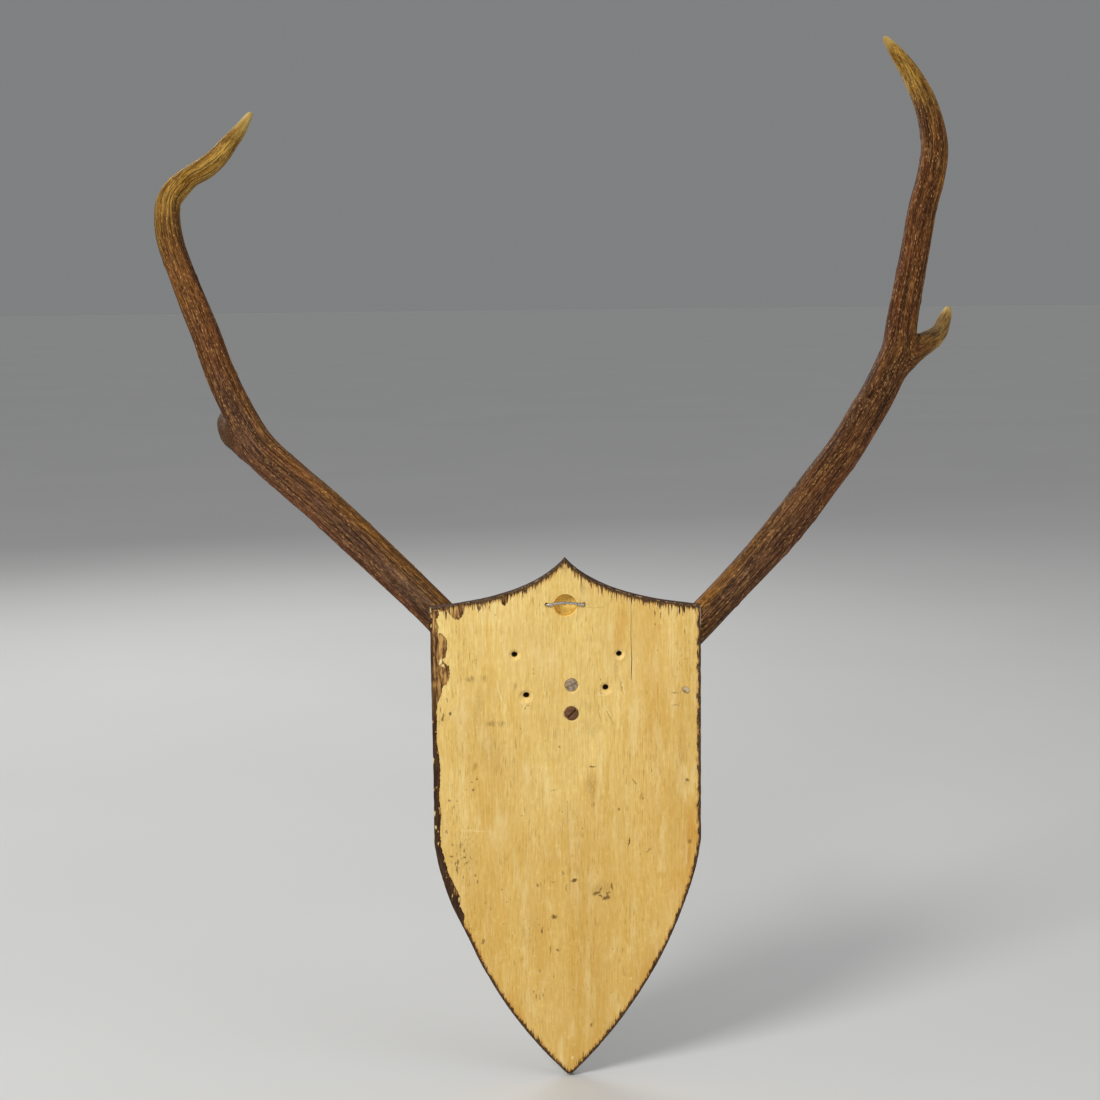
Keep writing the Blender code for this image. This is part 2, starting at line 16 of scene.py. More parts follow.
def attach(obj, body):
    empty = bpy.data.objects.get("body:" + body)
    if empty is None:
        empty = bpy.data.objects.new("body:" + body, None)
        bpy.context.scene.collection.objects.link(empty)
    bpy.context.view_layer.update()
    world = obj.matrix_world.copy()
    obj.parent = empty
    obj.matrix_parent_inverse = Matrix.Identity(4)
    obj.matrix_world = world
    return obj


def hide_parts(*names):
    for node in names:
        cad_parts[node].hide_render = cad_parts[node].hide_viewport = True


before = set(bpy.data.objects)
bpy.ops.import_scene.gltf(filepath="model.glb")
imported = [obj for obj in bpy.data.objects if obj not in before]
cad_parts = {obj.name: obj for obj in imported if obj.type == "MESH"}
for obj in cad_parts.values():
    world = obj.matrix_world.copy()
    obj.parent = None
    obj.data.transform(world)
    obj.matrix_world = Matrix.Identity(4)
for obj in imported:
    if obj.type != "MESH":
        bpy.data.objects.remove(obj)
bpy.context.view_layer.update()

OVERRUN = 0.002

# Board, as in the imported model
BOARD_THICKNESS = 0.022
BOARD_HALF_WIDTH = 0.1138
BOARD_APEX = 0.210
BOARD_CORNER = 0.169
BOARD_SHOULDER = -0.033
BOARD_TIP = -0.242
BOARD_TOP_CURVE = [
    (0.0, BOARD_APEX), (0.022, 0.184), (0.066, 0.1735), (BOARD_HALF_WIDTH, BOARD_CORNER),
]
BOARD_LOWER_CURVE = [
    (BOARD_HALF_WIDTH, BOARD_SHOULDER), (0.1088, -0.080), (0.0745, -0.171), (0.0, BOARD_TIP),
]
CURVE_STEPS = 160
TOP_POINTS = 72
SIDE_POINTS = 210

# Rings of the board from its back to its front: depth, distance in from the outline, share of the nicks
BOARD_RINGS = [
    (0.0000, 0.0120, 0.0),
    (0.0000, 0.0060, 0.0),
    (0.0000, 0.0030, 0.2),
    (0.0000, 0.0012, 1.0),
    (0.0004, 0.0005, 0.9),
    (0.0012, 0.0000, 0.4),
    (0.0034, 0.0000, 0.1),
    (0.0070, 0.0000, 0.0),
    (0.0105, 0.0000, 0.1),
    (0.0112, 0.0008, 0.2),
    (0.0120, 0.0022, 0.1),
    (0.0129, 0.0042, 0.0),
    (0.0140, 0.0060, 0.0),
    (0.0156, 0.0075, 0.0),
    (0.0175, 0.0086, 0.0),
    (0.0192, 0.0092, 0.0),
    (0.0205, 0.0094, 0.0),
    (0.0212, 0.0100, 0.0),
    (0.0217, 0.0107, 0.0),
    (0.0220, 0.0116, 0.0),
    (0.0220, 0.0160, 0.0),
]
GRID_STEP = 0.009
EDGE_WIDTH = 0.014
NICK_DEPTH = 0.00144
NICK_RATE = (700, 160)
WAVE_DEPTH = 0.0002
WAVE_RATE = 60

# Places where the outline is worn in: side (+1 is +X), height, depth and half length
WORN_EDGES = [
    (1, -0.118, 0.0021, 0.026),
    (1, -0.160, 0.0006, 0.020),
    (1, 0.020, 0.0006, 0.060),
    (-1, -0.090, 0.0005, 0.030),
]
TIP_CUT = 0.0022

# Hanging recess and wire
RECESS_RADIUS = 0.0095
RECESS_DEPTH = 0.008
RECESS_HEIGHT = 0.170
WIRE_RADIUS = 0.00115
WIRE_HALF_SPAN = 0.0156
WIRE_HEIGHT = 0.1708
WIRE_STANDOFF = 0.0014
WIRE_ARCH = 0.0017
WIRE_BEND = 0.002
WIRE_LEG = 0.010
WIRE_HOLE_RADIUS = 0.0015
WIRE_BEND_STEPS = 8
WIRE_BAR_STEPS = 24
WIRE_WAVE = 0.00012

# Screws: place across, height, head radius, how deep the head lies, turn of its slot in degrees
UPPER_SCREW = (-0.0045, 0.1020, 0.0053, 0.0005, 28)
LOWER_SCREW = (-0.0045, 0.0775, 0.0058, 0.0003, 44)
UPPER_SINK_SHIFT = (-0.0004, -0.0005)
LOWER_SINK_SHIFT = (0.0001, -0.0001)
SLOT_DEPTH = 0.0030
SLOT_WIDTH = 0.0013
SLOT_BEVEL = 0.08
SCREW_LENGTH = 0.034
SCREW_SHANK = 0.0022

# Empty countersunk holes: place across, height, sink radius, bore radius, how far the bore lies off centre
SPARE_HOLES = [
    (0.0430, 0.1280, 0.0050, 0.0025, (0.0002, 0.0007)),
    (-0.0450, 0.1280, 0.0048, 0.0024, (0.0002, 0.0005)),
    (0.0338, 0.0925, 0.0060, 0.0025, (-0.0002, 0.0010)),
    (-0.0335, 0.0985, 0.0058, 0.0026, (0.0002, 0.0012)),
]
SECOND_BORE = (0.0350, 0.0933, [(OVERRUN, 0.0014, 0), (-0.0150, 0.0014, 0)])
SINK_DEPTH = 0.0032
PILOT_DEPTH = 0.0120
PILOT_RADIUS = 0.0012

# Skull plate
PLATE_CENTRE = 0.064
PLATE_TOP = 0.122
PLATE_NOSE = 0.000
PLATE_HALF_WIDTH = 0.044
PLATE_NOSE_HALF_WIDTH = 0.022
PLATE_SQUARENESS = 2.6
PLATE_RIM = 0.006
PLATE_CREST = 0.018
BROW_HEIGHT = 0.0030
BROW_AT = 0.62
BROW_WIDTH = 0.2
PLATE_SIDES = 96
PLATE_RINGS = [0.03, 0.1, 0.2, 0.3, 0.4, 0.5, 0.6, 0.7, 0.78, 0.85, 0.91, 0.96, 1.0]
PLATE_SIDE_REACH = 1.01
SKULL_VOXEL = 0.0011

# Seams of the skull: one down the middle, one across at a level that drops to the sides
SEAM_DEPTH = 0.0007
SEAM_WIDTH = 0.0008
SEAM_LEVEL = 0.104
SEAM_DROP = 0.35
SEAM_HALF_LENGTH = 0.030
SEAM_LAST_DEPTH = -0.026

# Lumps of the bone: height and how dense they lie
BONE_LUMPS = [(0.0010, 45), (0.0004, 170)]

# How far from the board's back a pedicle begins to show, and shows fully
STEM_START = 0.040
STEM_FULL = 0.062

# Joints of board, plate and pedicles
BOARD_GAP = 0.0003
PEDICLE_ROOT = Vector((0.021, -0.022, -0.038))
PEDICLE_PROFILE = [(0.0, 0.034), (0.45, 0.037)]
PEDICLE_NECK = [(0.014, 0.0325), (0.006, 0.0325), (0.0003, 0.0335)]

# Burr at an antler's base: run along the beam and radius
BURR_PROFILE = [(0.0000, 0.0167), (0.0012, 0.0222), (0.0040, 0.0255), (0.0080, 0.0246), (0.0130, 0.0186)]
BURR_END = 0.0156

# Centre lines: x, y, z and thickness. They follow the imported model, with blunter points
LEFT_BEAM = [
    (0.0430, -0.0600, 0.0785, 0.0345),
    (0.0645, -0.0655, 0.1030, 0.0340),
    (0.0900, -0.0640, 0.1300, 0.0322),
    (0.1120, -0.0630, 0.1550, 0.0310),
    (0.1420, -0.0695, 0.1835, 0.0312),
    (0.2060, -0.0860, 0.2425, 0.0323),
    (0.2380, -0.1010, 0.2680, 0.0326),
    (0.2675, -0.1165, 0.2930, 0.0320),
    (0.2850, -0.1315, 0.3185, 0.0290),
    (0.3070, -0.1520, 0.3590, 0.0268),
    (0.3235, -0.1715, 0.3985, 0.0262),
    (0.3475, -0.1935, 0.4530, 0.0245),
    (0.3580, -0.2055, 0.4805, 0.0240),
    (0.3616, -0.2155, 0.5025, 0.0233),
    (0.3606, -0.2220, 0.5165, 0.0223),
    (0.3535, -0.2285, 0.5280, 0.0222),
    (0.3430, -0.2345, 0.5385, 0.0197),
    (0.3300, -0.2400, 0.5465, 0.0205),
    (0.3180, -0.2470, 0.5575, 0.0189),
    (0.3085, -0.2555, 0.5705, 0.0158),
    (0.2995, -0.2645, 0.5830, 0.0124),
    (0.2900, -0.2765, 0.6000, 0.0054),
]
RIGHT_BEAM = [
    (-0.0440, -0.0600, 0.0725, 0.0345),
    (-0.0660, -0.0655, 0.0955, 0.0340),
    (-0.0910, -0.0640, 0.1195, 0.0318),
    (-0.1235, -0.0630, 0.1515, 0.0296),
    (-0.1595, -0.0715, 0.1880, 0.0298),
    (-0.1835, -0.0790, 0.2130, 0.0319),
    (-0.2060, -0.0865, 0.2385, 0.0325),
    (-0.2275, -0.1000, 0.2635, 0.0318),
    (-0.2490, -0.1140, 0.2885, 0.0310),
    (-0.2670, -0.1280, 0.3140, 0.0314),
    (-0.2840, -0.1410, 0.3395, 0.0305),
    (-0.2975, -0.1525, 0.3640, 0.0298),
    (-0.3035, -0.1580, 0.3790, 0.0288),
    (-0.3085, -0.1665, 0.4055, 0.0272),
    (-0.3200, -0.1765, 0.4590, 0.0257),
    (-0.3275, -0.1830, 0.4995, 0.0256),
    (-0.3355, -0.1890, 0.5265, 0.0252),
    (-0.3400, -0.1960, 0.5520, 0.0245),
    (-0.3400, -0.2095, 0.5750, 0.0232),
    (-0.3370, -0.2235, 0.5950, 0.0212),
    (-0.3315, -0.2370, 0.6135, 0.0192),
    (-0.3245, -0.2505, 0.6310, 0.0165),
    (-0.3150, -0.2630, 0.6480, 0.0122),
    (-0.3055, -0.2730, 0.6635, 0.0054),
]
LEFT_TREZ = [
    (0.2840, -0.1310, 0.3095, 0.0270),
    (0.2925, -0.1480, 0.3060, 0.0308),
    (0.3012, -0.1760, 0.3112, 0.0285),
    (0.3052, -0.2000, 0.3134, 0.0258),
    (0.3073, -0.2260, 0.3131, 0.0215),
    (0.3085, -0.2520, 0.3136, 0.0168),
    (0.3095, -0.2965, 0.3150, 0.0050),
]
RIGHT_TREZ = [
    (-0.2975, -0.1525, 0.3625, 0.0262),
    (-0.3085, -0.1565, 0.3680, 0.0228),
    (-0.3210, -0.1665, 0.3750, 0.0214),
    (-0.3325, -0.1820, 0.3805, 0.0203),
    (-0.3435, -0.2050, 0.3840, 0.0177),
    (-0.3535, -0.2300, 0.3890, 0.0155),
    (-0.3615, -0.2550, 0.3965, 0.0132),
    (-0.3680, -0.2750, 0.4035, 0.0104),
    (-0.3730, -0.2905, 0.4098, 0.0058),
]
LEFT_BROW = [
    (0.0625, -0.0655, 0.1005, 0.0280),
    (0.0660, -0.0880, 0.0965, 0.0260),
    (0.0710, -0.1200, 0.0905, 0.0235),
    (0.0770, -0.1600, 0.0910, 0.0200),
    (0.0820, -0.2000, 0.1000, 0.0145),
    (0.0845, -0.2320, 0.1160, 0.0050),
]
RIGHT_BROW = [
    (-0.0640, -0.0655, 0.0930, 0.0280),
    (-0.0680, -0.0880, 0.0885, 0.0256),
    (-0.0745, -0.1200, 0.0815, 0.0230),
    (-0.0820, -0.1600, 0.0820, 0.0195),
    (-0.0875, -0.1980, 0.0905, 0.0140),
    (-0.0900, -0.2280, 0.1060, 0.0050),
]

# Short tubes that fill the crotch under a tine, so that it grows out of the beam
LEFT_WEBS = [
    [(0.2580, -0.1115, 0.2850, 0.0308), (0.2795, -0.1325, 0.2965, 0.0290),
     (0.2970, -0.1600, 0.3075, 0.0285)],
    [(0.0700, -0.0660, 0.1085, 0.0300), (0.0670, -0.0820, 0.1010, 0.0270),
     (0.0690, -0.1040, 0.0945, 0.0245)],
]
RIGHT_WEBS = [
    [(-0.2855, -0.1425, 0.3420, 0.0296), (-0.2995, -0.1525, 0.3585, 0.0258),
     (-0.3190, -0.1650, 0.3730, 0.0205)],
    [(-0.3060, -0.1620, 0.3920, 0.0260), (-0.3130, -0.1640, 0.3810, 0.0205),
     (-0.3260, -0.1730, 0.3785, 0.0200)],
    [(-0.0720, -0.0660, 0.1010, 0.0300), (-0.0690, -0.0820, 0.0930, 0.0270),
     (-0.0720, -0.1040, 0.0860, 0.0240)],
]

# Tints along the beams: height, half height, side (1 inner, -1 outer, 0 back), strength
LEFT_TINTS = {
    "amber": [(0.19, 0.13, 1, 0.80), (0.34, 0.07, 1, 0.30), (0.47, 0.09, -1, 0.65), (0.46, 0.07, 0, 0.45),
              (0.53, 0.05, 0, 0.60)],
    "red": [(0.20, 0.12, -1, 0.85), (0.42, 0.08, 1, 0.60), (0.40, 0.07, 0, 0.40)],
    "grey": [(0.20, 0.10, 0, 0.85), (0.31, 0.06, 0, 0.55), (0.43, 0.06, 0, 0.40)],
}
RIGHT_TINTS = {
    "amber": [(0.14, 0.08, 1, 0.95), (0.57, 0.09, -1, 0.95), (0.39, 0.02, -1, 0.60), (0.08, 0.06, 0, 0.50),
              (0.64, 0.04, 0, 0.85)],
    "red": [(0.24, 0.12, -1, 0.60), (0.44, 0.09, 1, 0.60), (0.48, 0.08, 0, 0.35)],
    "grey": [(0.20, 0.07, 0, 0.55), (0.31, 0.06, 0, 0.15)],
}

# Antlers. Gold lengths and smoothness: for the beam and each tine, and for each tine
LEFT_ANTLER = {
    "beam": LEFT_BEAM, "tines": [LEFT_BROW, LEFT_TREZ], "webs": LEFT_WEBS, "tints": LEFT_TINTS,
    "gold_lengths": (0.238, 0.12, 0.12), "smoothness": (0.0, 0.5), "seed": 11,
}
RIGHT_ANTLER = {
    "beam": RIGHT_BEAM, "tines": [RIGHT_BROW, RIGHT_TREZ], "webs": RIGHT_WEBS, "tints": RIGHT_TINTS,
    "gold_lengths": (0.14, 0.12, 0.20), "smoothness": (0.0, 0.1), "seed": 12,
}

# Surface of the antlers
TUBE_STEP = 0.004
ROUTE_STEP = 0.0015
TUBE_SIDES = 40
SKIN_VOXEL = 0.00115
FORK_REACH = 0.020
FORK_START = 0.012
THINNEST = 0.003

# Where routes meet, how fast a route's share falls with distance; the golden and the ivory end of a point
ROUTE_FALL = 7.0
GOLD_FULL = 0.020
IVORY_SHARE = 0.2

# Rounded end of a point: how far ahead and how wide each ring is, as shares of the radius
POINT_ROUNDING = [(0.0, 1.0), (0.5, 0.87), (0.87, 0.5), (1.0, 0.12)]

# Relief of the bark
RIDGE_HEIGHT = 0.0009
PEARL_HEIGHT = 0.0007

# How dense the ridges and pearls lie across, across and along the beam
BROAD_RIDGES = (105, 105, 9)
NARROW_RIDGES = (250, 250, 17)
NARROW_SHIFT = (7, 0, 0)
PEARL_SPREAD = (210, 210, 95)
PEARL_CHOICE = 0.42
PEARL_WIDTH = 0.42

# Beads of the burr, by row: run along the beam, reach, count, smallest and largest radius
BURR_BEADS = [(0.0048, 0.0238, 27, 0.0026, 0.0042), (0.0095, 0.0218, 21, 0.0018, 0.0030)]

# Torn veneer on the board's back: outlines of x and z
TORN_DEPTH = 0.0007
TOOTH_STRETCH = 2.2
TOOTH_STEP = 0.0008
TORN_EDGE = [
    (0.1065, 0.1665), (0.1060, 0.1630), (0.1085, 0.1590), (0.1065, 0.1530), (0.1072, 0.1474),
    (0.1044, 0.1475), (0.1020, 0.1450), (0.1002, 0.1430), (0.0995, 0.1408), (0.1000, 0.1325),
    (0.1011, 0.1270), (0.1038, 0.1252), (0.1016, 0.1214), (0.0980, 0.1186), (0.0979, 0.1102),
    (0.1001, 0.1043), (0.1034, 0.1029), (0.1053, 0.0955), (0.1072, 0.0909), (0.1088, 0.0860),
    (0.1100, 0.0545), (0.1086, 0.0465), (0.1072, 0.0330), (0.1076, 0.0185), (0.1086, 0.0050),
    (0.1070, -0.0090), (0.1082, -0.0215), (0.1078, -0.0370), (0.1049, -0.0467), (0.1021, -0.0592),
    (0.0954, -0.0734), (0.0918, -0.0813), (0.0928, -0.0890), (0.0882, -0.0970), (0.0900, -0.1060),
]
TORN_OUTSIDE = [(0.0990, -0.1060), (0.1180, -0.0400), (0.1180, 0.1665)]
TORN_TOP = [
    (0.1040, 0.1760), (0.1045, 0.1668), (0.0985, 0.1660), (0.0964, 0.1625), (0.0932, 0.1598),
    (0.0906, 0.1588), (0.0874, 0.1601), (0.0859, 0.1634), (0.0845, 0.1668), (0.0840, 0.1760),
]
TORN_CHIP = [(0.0540, 0.1800), (0.0537, 0.1735), (0.0532, 0.1722), (0.0510, 0.1704), (0.0484, 0.1725),
             (0.0476, 0.1765), (0.0474, 0.1800)]

# Long crack in the back: x and z down its middle, and how wide it is there
CRACK = [
    (-0.0551, 0.1760, 0.0001), (-0.0553, 0.1600, 0.0003), (-0.0549, 0.1450, 0.0003),
    (-0.0552, 0.1320, 0.0004), (-0.0556, 0.1240, 0.0006), (-0.0553, 0.1150, 0.0007),
    (-0.0549, 0.1070, 0.0004), (-0.0550, 0.1050, 0.0001),
]
CRACK_DEPTH = 0.0011

# Marks on the back: x, z, half width, half height in millimetres, turn in degrees, strength
DARK_MARKS = {
    "nicks_under_top_edge": [
        (72, 168.5, 1.3, 2.4, 0, 0.9), (63.5, 168.5, 0.6, 3.0, 0, 0.7), (59, 162.5, 0.6, 0.7, 0, 0.6),
        (-75, 163, 0.5, 3.0, 0, 0.6), (-80, 161, 0.5, 3.5, 3, 0.7), (-87, 164, 0.5, 4.0, 0, 0.6),
        (-94, 162, 0.5, 3.0, 0, 0.6), (-100, 147, 0.5, 2.2, 0, 0.7), (-77.5, 131.5, 0.5, 1.6, 0, 0.5),
        (-31, 180, 0.5, 3.0, 0, 0.6), (-39, 176, 0.5, 3.4, 0, 0.6), (36, 177, 0.5, 2.6, 0, 0.6),
    ],
    "left_edge_nicks": [
        (98, 78.5, 1.2, 1.6, 10, 0.9), (104.5, 74, 0.9, 2.4, 8, 0.8), (103.5, 77.5, 0.6, 2.2, 0, 0.7),
        (100.5, 90, 0.7, 1.8, -15, 0.7), (106, 82, 0.6, 2.6, 0, 0.6), (100, 3.5, 1.2, 1.2, 0, 0.6),
    ],
    "spots": [
        (-102, 19.5, 1.5, 1.7, 0, 0.75), (-5.5, -67.5, 2.7, 1.5, -14, 0.95), (4, -61, 1.2, 2.2, -20, 0.4),
        (1.5, -74, 0.8, 3.4, 4, 0.55), (12, -99.5, 2.6, 2.0, 15, 0.85), (9.5, -129, 1.8, 1.3, 20, 0.6),
        (22.5, -111.5, 0.8, 2.2, 0, 0.75), (26, -71.5, 1.1, 1.6, 0, 0.55), (79.5, 12.5, 1.0, 1.0, 0, 0.75),
        (80.5, 19, 0.9, 0.8, 0, 0.6), (76.5, 22, 1.3, 0.7, 0, 0.6), (38.5, -10.5, 1.2, 0.9, -20, 0.5),
        (-0.5, 1, 0.8, 1.2, 0, 0.4), (-44, -6, 0.8, 1.3, 0, 0.65), (-72, 27.5, 0.6, 1.4, 0, 0.7),
        (-64.5, 3.5, 0.7, 0.7, 0, 0.6), (6, 49, 0.9, 0.9, 0, 0.6), (-4, -164.5, 0.7, 0.8, 0, 0.55),
        (28.5, -169.5, 0.5, 2.2, 0, 0.6), (25, -171, 0.5, 2.4, 0, 0.6), (22, -169, 0.5, 2.0, 0, 0.6),
        (-19, -196, 0.6, 1.8, 10, 0.75), (-33, -203, 0.6, 1.2, 0, 0.6), (-4, -46, 0.7, 1.2, 0, 0.35),
        (99, -45.5, 1.6, 1.2, 10, 0.7), (88, -46.5, 1.4, 1.0, -10, 0.75), (94.3, -57.5, 0.9, 4.2, 0, 0.7),
        (93.5, -50.5, 0.8, 2.6, 0, 0.65), (77, -68, 0.9, 1.5, 0, 0.65), (79, -62.5, 0.8, 1.5, 0, 0.6),
        (98, -35.5, 1.1, 1.0, 0, 0.65), (91, -36, 0.9, 2.4, 0, 0.55), (103, -23.5, 0.9, 1.6, 0, 0.55),
        (88, -40.5, 0.8, 1.4, 0, 0.6), (15.4, -128.5, 0.5, 4.2, 0, 0.5), (12.8, -152.5, 0.6, 1.8, 0, 0.6),
        (24.4, -147.5, 0.6, 2.0, 0, 0.6), (12.4, -69, 2.0, 0.5, 0, 0.45), (30, -166, 0.5, 1.8, 0, 0.55),
        (-104, -34.5, 1.6, 2.2, 10, 0.5), (33, -120, 0.5, 1.8, 0, 0.5), (66, -92, 0.6, 1.6, 0, 0.5),
        (86.0, -113.5, 1.9, 6.5, -25, 0.85), (79.4, -127.5, 1.5, 6.5, -27, 0.8),
    ],
    "strokes": [
        (-22, 31.5, 3.2, 0.7, 5, 0.8), (-52.5, -34.5, 0.6, 4.3, 12, 0.9), (-57, 18.5, 0.5, 4.0, -32, 0.6),
        (-69.5, -41.5, 0.6, 5.0, 50, 0.4), (12, 11.5, 2.2, 0.6, -12, 0.4), (-91.5, 94.5, 3.2, 0.6, 2, 0.5),
        (-92, 84, 3.2, 0.6, -2, 0.45), (-24.5, -79, 3.8, 1.5, -22, 0.8), (-33, -83, 3.4, 1.9, -12, 0.85),
        (-37.5, -73, 0.9, 2.6, -8, 0.8), (-28, -81.5, 2.2, 1.0, 30, 0.75), (-33.6, -80, 1.0, 2.0, -20, 0.7),
        (-30.7, -84.3, 2.4, 0.8, -30, 0.75), (73, -121, 1.4, 2.6, 20, 0.6), (-46.5, 102, 0.4, 8, -9, 0.55),
        (-37, 74, 0.4, 8, -26, 0.6), (-28, 76, 0.4, 6, -18, 0.5), (-24, 168, 10, 0.25, 0, 0.3),
        (15.5, 168.6, 4, 0.25, 0, 0.3), (34.5, 83, 0.4, 2.6, 24, 0.6), (37.5, 84.5, 0.3, 2.0, -20, 0.5),
        (32.5, 85, 1.8, 0.4, 10, 0.5), (-28, -76, 0.7, 2.8, 18, 0.7), (-35, -78.5, 1.8, 0.6, 20, 0.65),
    ],
    "soft_stains": [
        (-14, 187, 2.6, 6.0, 0, 0.45), (-22, 14, 4.0, 12, 0, 0.35), (-21, 16, 1.6, 5.0, 0, 0.50),
        (-22, 0.5, 3.0, 2.6, 0, 0.50), (-29, -74.5, 8.0, 6.0, 0, 0.26), (81.5, 107.5, 3.4, 3.2, 0, 0.60),
        (70.5, 108, 2.4, 3.6, 0, 0.50), (63.5, 70, 3.6, 2.8, 0, 0.70), (56, 70, 3.2, 2.4, 0, 0.60),
        (37, -112.5, 2.2, 5.0, 0, 0.35), (78.5, 31.5, 1.8, 4.0, 0, 0.45), (43.5, 102, 1.6, 4.6, 0, 0.45),
        (75, 84, 5.0, 20, 4, 0.20), (88, -46, 12, 20, 0, 0.16), (1, 200, 3.4, 5.5, 0, 0.45),
        (-21, 66, 9, 8, 0, 0.20), (-18, 84, 8, 4, 10, 0.20), (76, 122, 2.0, 6, -10, 0.30),
        (-43, 118, 1.8, 10, 0, 0.30), (-96, 40, 6, 20, 0, 0.14), (66, 50, 10, 16, 0, 0.14),
    ],
}
SHARP_MARKS = ("nicks_under_top_edge", "left_edge_nicks", "spots", "strokes")
ORANGE_STAINS = [
    (-46, 146, 5, 26, 0, 0.50), (-104, -32, 7, 34, 2, 0.75), (-80.5, -63.5, 4, 5, 0, 0.45),
    (-66, -150, 14, 30, 30, 0.40), (46, -182, 8, 14, -35, 0.45), (-92, -70, 12, 22, 12, 0.40),
    (-72, 110, 26, 90, 0, 0.32), (-22, 8, 9, 20, 0, 0.20), (-80, -10, 22, 70, 0, 0.24),
    (55, -90, 2.2, 40, 0, 0.26), (20.4, -90, 1.8, 34, 0, 0.22), (-21.4, -130, 2.4, 26, 0, 0.22),
    (-50, 160, 3, 22, 0, 0.35),
]
PALE_SCRATCHES = [
    (-48, 101, 0.4, 11, -12, 0.6), (-44, 92, 0.4, 9, -20, 0.5), (-34.5, 80, 0.4, 8, -28, 0.5),
    (56, 96, 0.5, 13, -16, 0.6), (51, 84, 0.4, 10, -24, 0.4), (78, -23.5, 13, 0.4, 3, 0.45),
    (37, 88, 2.4, 1.6, 0, 0.4), (35.5, 84, 0.5, 2.8, 20, 0.5), (-30, 94, 3.0, 2.0, 0, 0.4),
    (-2.5, -225, 1.2, 1.2, 0, 0.6), (-53.5, -155, 0.9, 0.9, 0, 0.5), (12, 60, 0.4, 18, 4, 0.25),
]
SPECKLED_PATCHES = [
    (90, -48, 12, 30, 12, 1.0), (26, -108, 14, 12, 0, 0.65), (24, -168, 10, 8, 0, 0.75),
    (97, 6, 5, 30, 0, 0.6), (0, -150, 26, 34, 0, 0.30), (78, -100, 8, 22, 25, 0.8),
    (-98, 120, 10, 34, 0, 0.5),
]

# Filled nail hole in the back: its rim, its filling and a dent in that, each with its colour
NAIL_PLUG = [
    ((-101, 97, 3.7, 2.9, 35, 0.75), (96, 74, 52)),
    ((-101.3, 97.3, 2.9, 2.1, 35, 0.9), (206, 184, 150)),
    ((-100.3, 96.2, 1.5, 0.8, 40, 0.8), (132, 106, 84)),
]

# Bare chips on the arris and in the torn strip, listed like the marks above
EDGE_CHIPS = [
    (113.4, 38, 1.1, 3.4, 0, 0.85), (112.8, -8, 0.9, 2.4, 0, 0.7), (112.0, -20, 1.2, 1.6, 0, 0.8),
    (105.4, 123, 1.3, 3.2, 20, 0.95), (103.6, 120, 1.0, 1.4, -20, 0.9), (113.4, 167, 1.2, 2.4, 0, 0.6),
    (-113.4, 160, 0.9, 8.0, 0, 0.6), (-113.2, 60, 0.8, 6.0, 0, 0.5), (-112.6, -40, 0.8, 9.0, 0, 0.45),
]
MILLIMETRE = 0.001

# Colours, as 0 to 255 on screen
BACK_GRAIN = {"Pale": (254, 230, 154), "Tan": (216, 170, 76), "Vessel": (140, 94, 38)}
EDGE_GRAIN = {"Pale": (62, 38, 25), "Tan": (34, 21, 16), "Vessel": (16, 11, 9)}
FRONT_GRAIN = {"Pale": (104, 64, 38), "Tan": (50, 31, 20), "Vessel": (24, 14, 10)}
BACK = {
    "darker_towards_bottom": (208, 154, 56), "orange": (208, 144, 40), "mottle": (196, 146, 58),
    "pale_mottle": (255, 238, 172), "patina": (205, 163, 86), "soft_stain": (116, 76, 26),
    "bloom": (244, 220, 158), "scratch": (250, 230, 176), "dark": (84, 50, 12),
    "halo": (178, 112, 40), "stain": (47, 30, 18),
}
TORN = {"stain": (55, 33, 21), "splinter": (232, 192, 116), "chip": (250, 224, 158)}
# The holes' dark colour serves both the dirt blotches and the painted shade deep inside the holes
HOLE = {"vessel": (120, 78, 34), "dirt_and_depth_shade": (70, 44, 22), "line": (140, 88, 38)}
EDGE = {
    "uneven": (36, 25, 21), "rubbed": (202, 168, 118), "worn_thin": (120, 82, 54),
    "scuff": (140, 110, 84), "dust": (96, 88, 76), "chip": (226, 210, 180),
}
ANTLER = {
    "dark": (60, 32, 8), "brown": (113, 70, 30), "grey": (110, 90, 78), "warm": (112, 60, 24),
    "red": (116, 54, 22), "amber": (158, 104, 38), "groove": (35, 17, 3), "bead": (194, 144, 90),
    "amber_bead": (206, 146, 62), "polished_dark": (26, 18, 9), "polished": (84, 65, 38),
    "golden_dark": (130, 90, 25), "golden": (198, 156, 74), "golden_amber": (150, 106, 26),
    "golden_groove": (62, 35, 10), "golden_bead": (222, 184, 108), "point": (160, 130, 60),
    "ivory": (204, 176, 112),
}
BONE = {"stain": (146, 108, 62), "stem": (130, 96, 58), "pore": (92, 66, 38), "seam": (84, 60, 36)}
DARK_RUST = (52, 34, 24)
FLOOR_COLOURS = ((206, 206, 204), (214, 214, 212))

# Ramps of colour: where on the ramp, and the colour there
TORN_RAMP = [(0.30, (62, 36, 18)), (0.42, (118, 80, 42)), (0.54, (164, 122, 68)), (0.66, (206, 162, 94))]
BONE_RAMP = [
    (0.25, (166, 138, 96)), (0.45, (204, 180, 136)), (0.62, (224, 206, 166)), (0.80, (236, 222, 190)),
]

# Drilled wood: pale and tan, how strong the drill's lines are, depths where painted shade starts and where
# it is full, darkening the wood deeper in a hole
FRESH_HOLE = ((252, 226, 150), (226, 184, 100), 0.0, 0.0026, 0.0046)
# The recess's pale and tan are brighter than the bare back's wood: painted light that offsets the shade
# inside the recess
DRILLED_RECESS = ((255, 232, 136), (255, 206, 102), 0.7, 0.0085, 0.0170)
DRILL_LINES = 5200.0

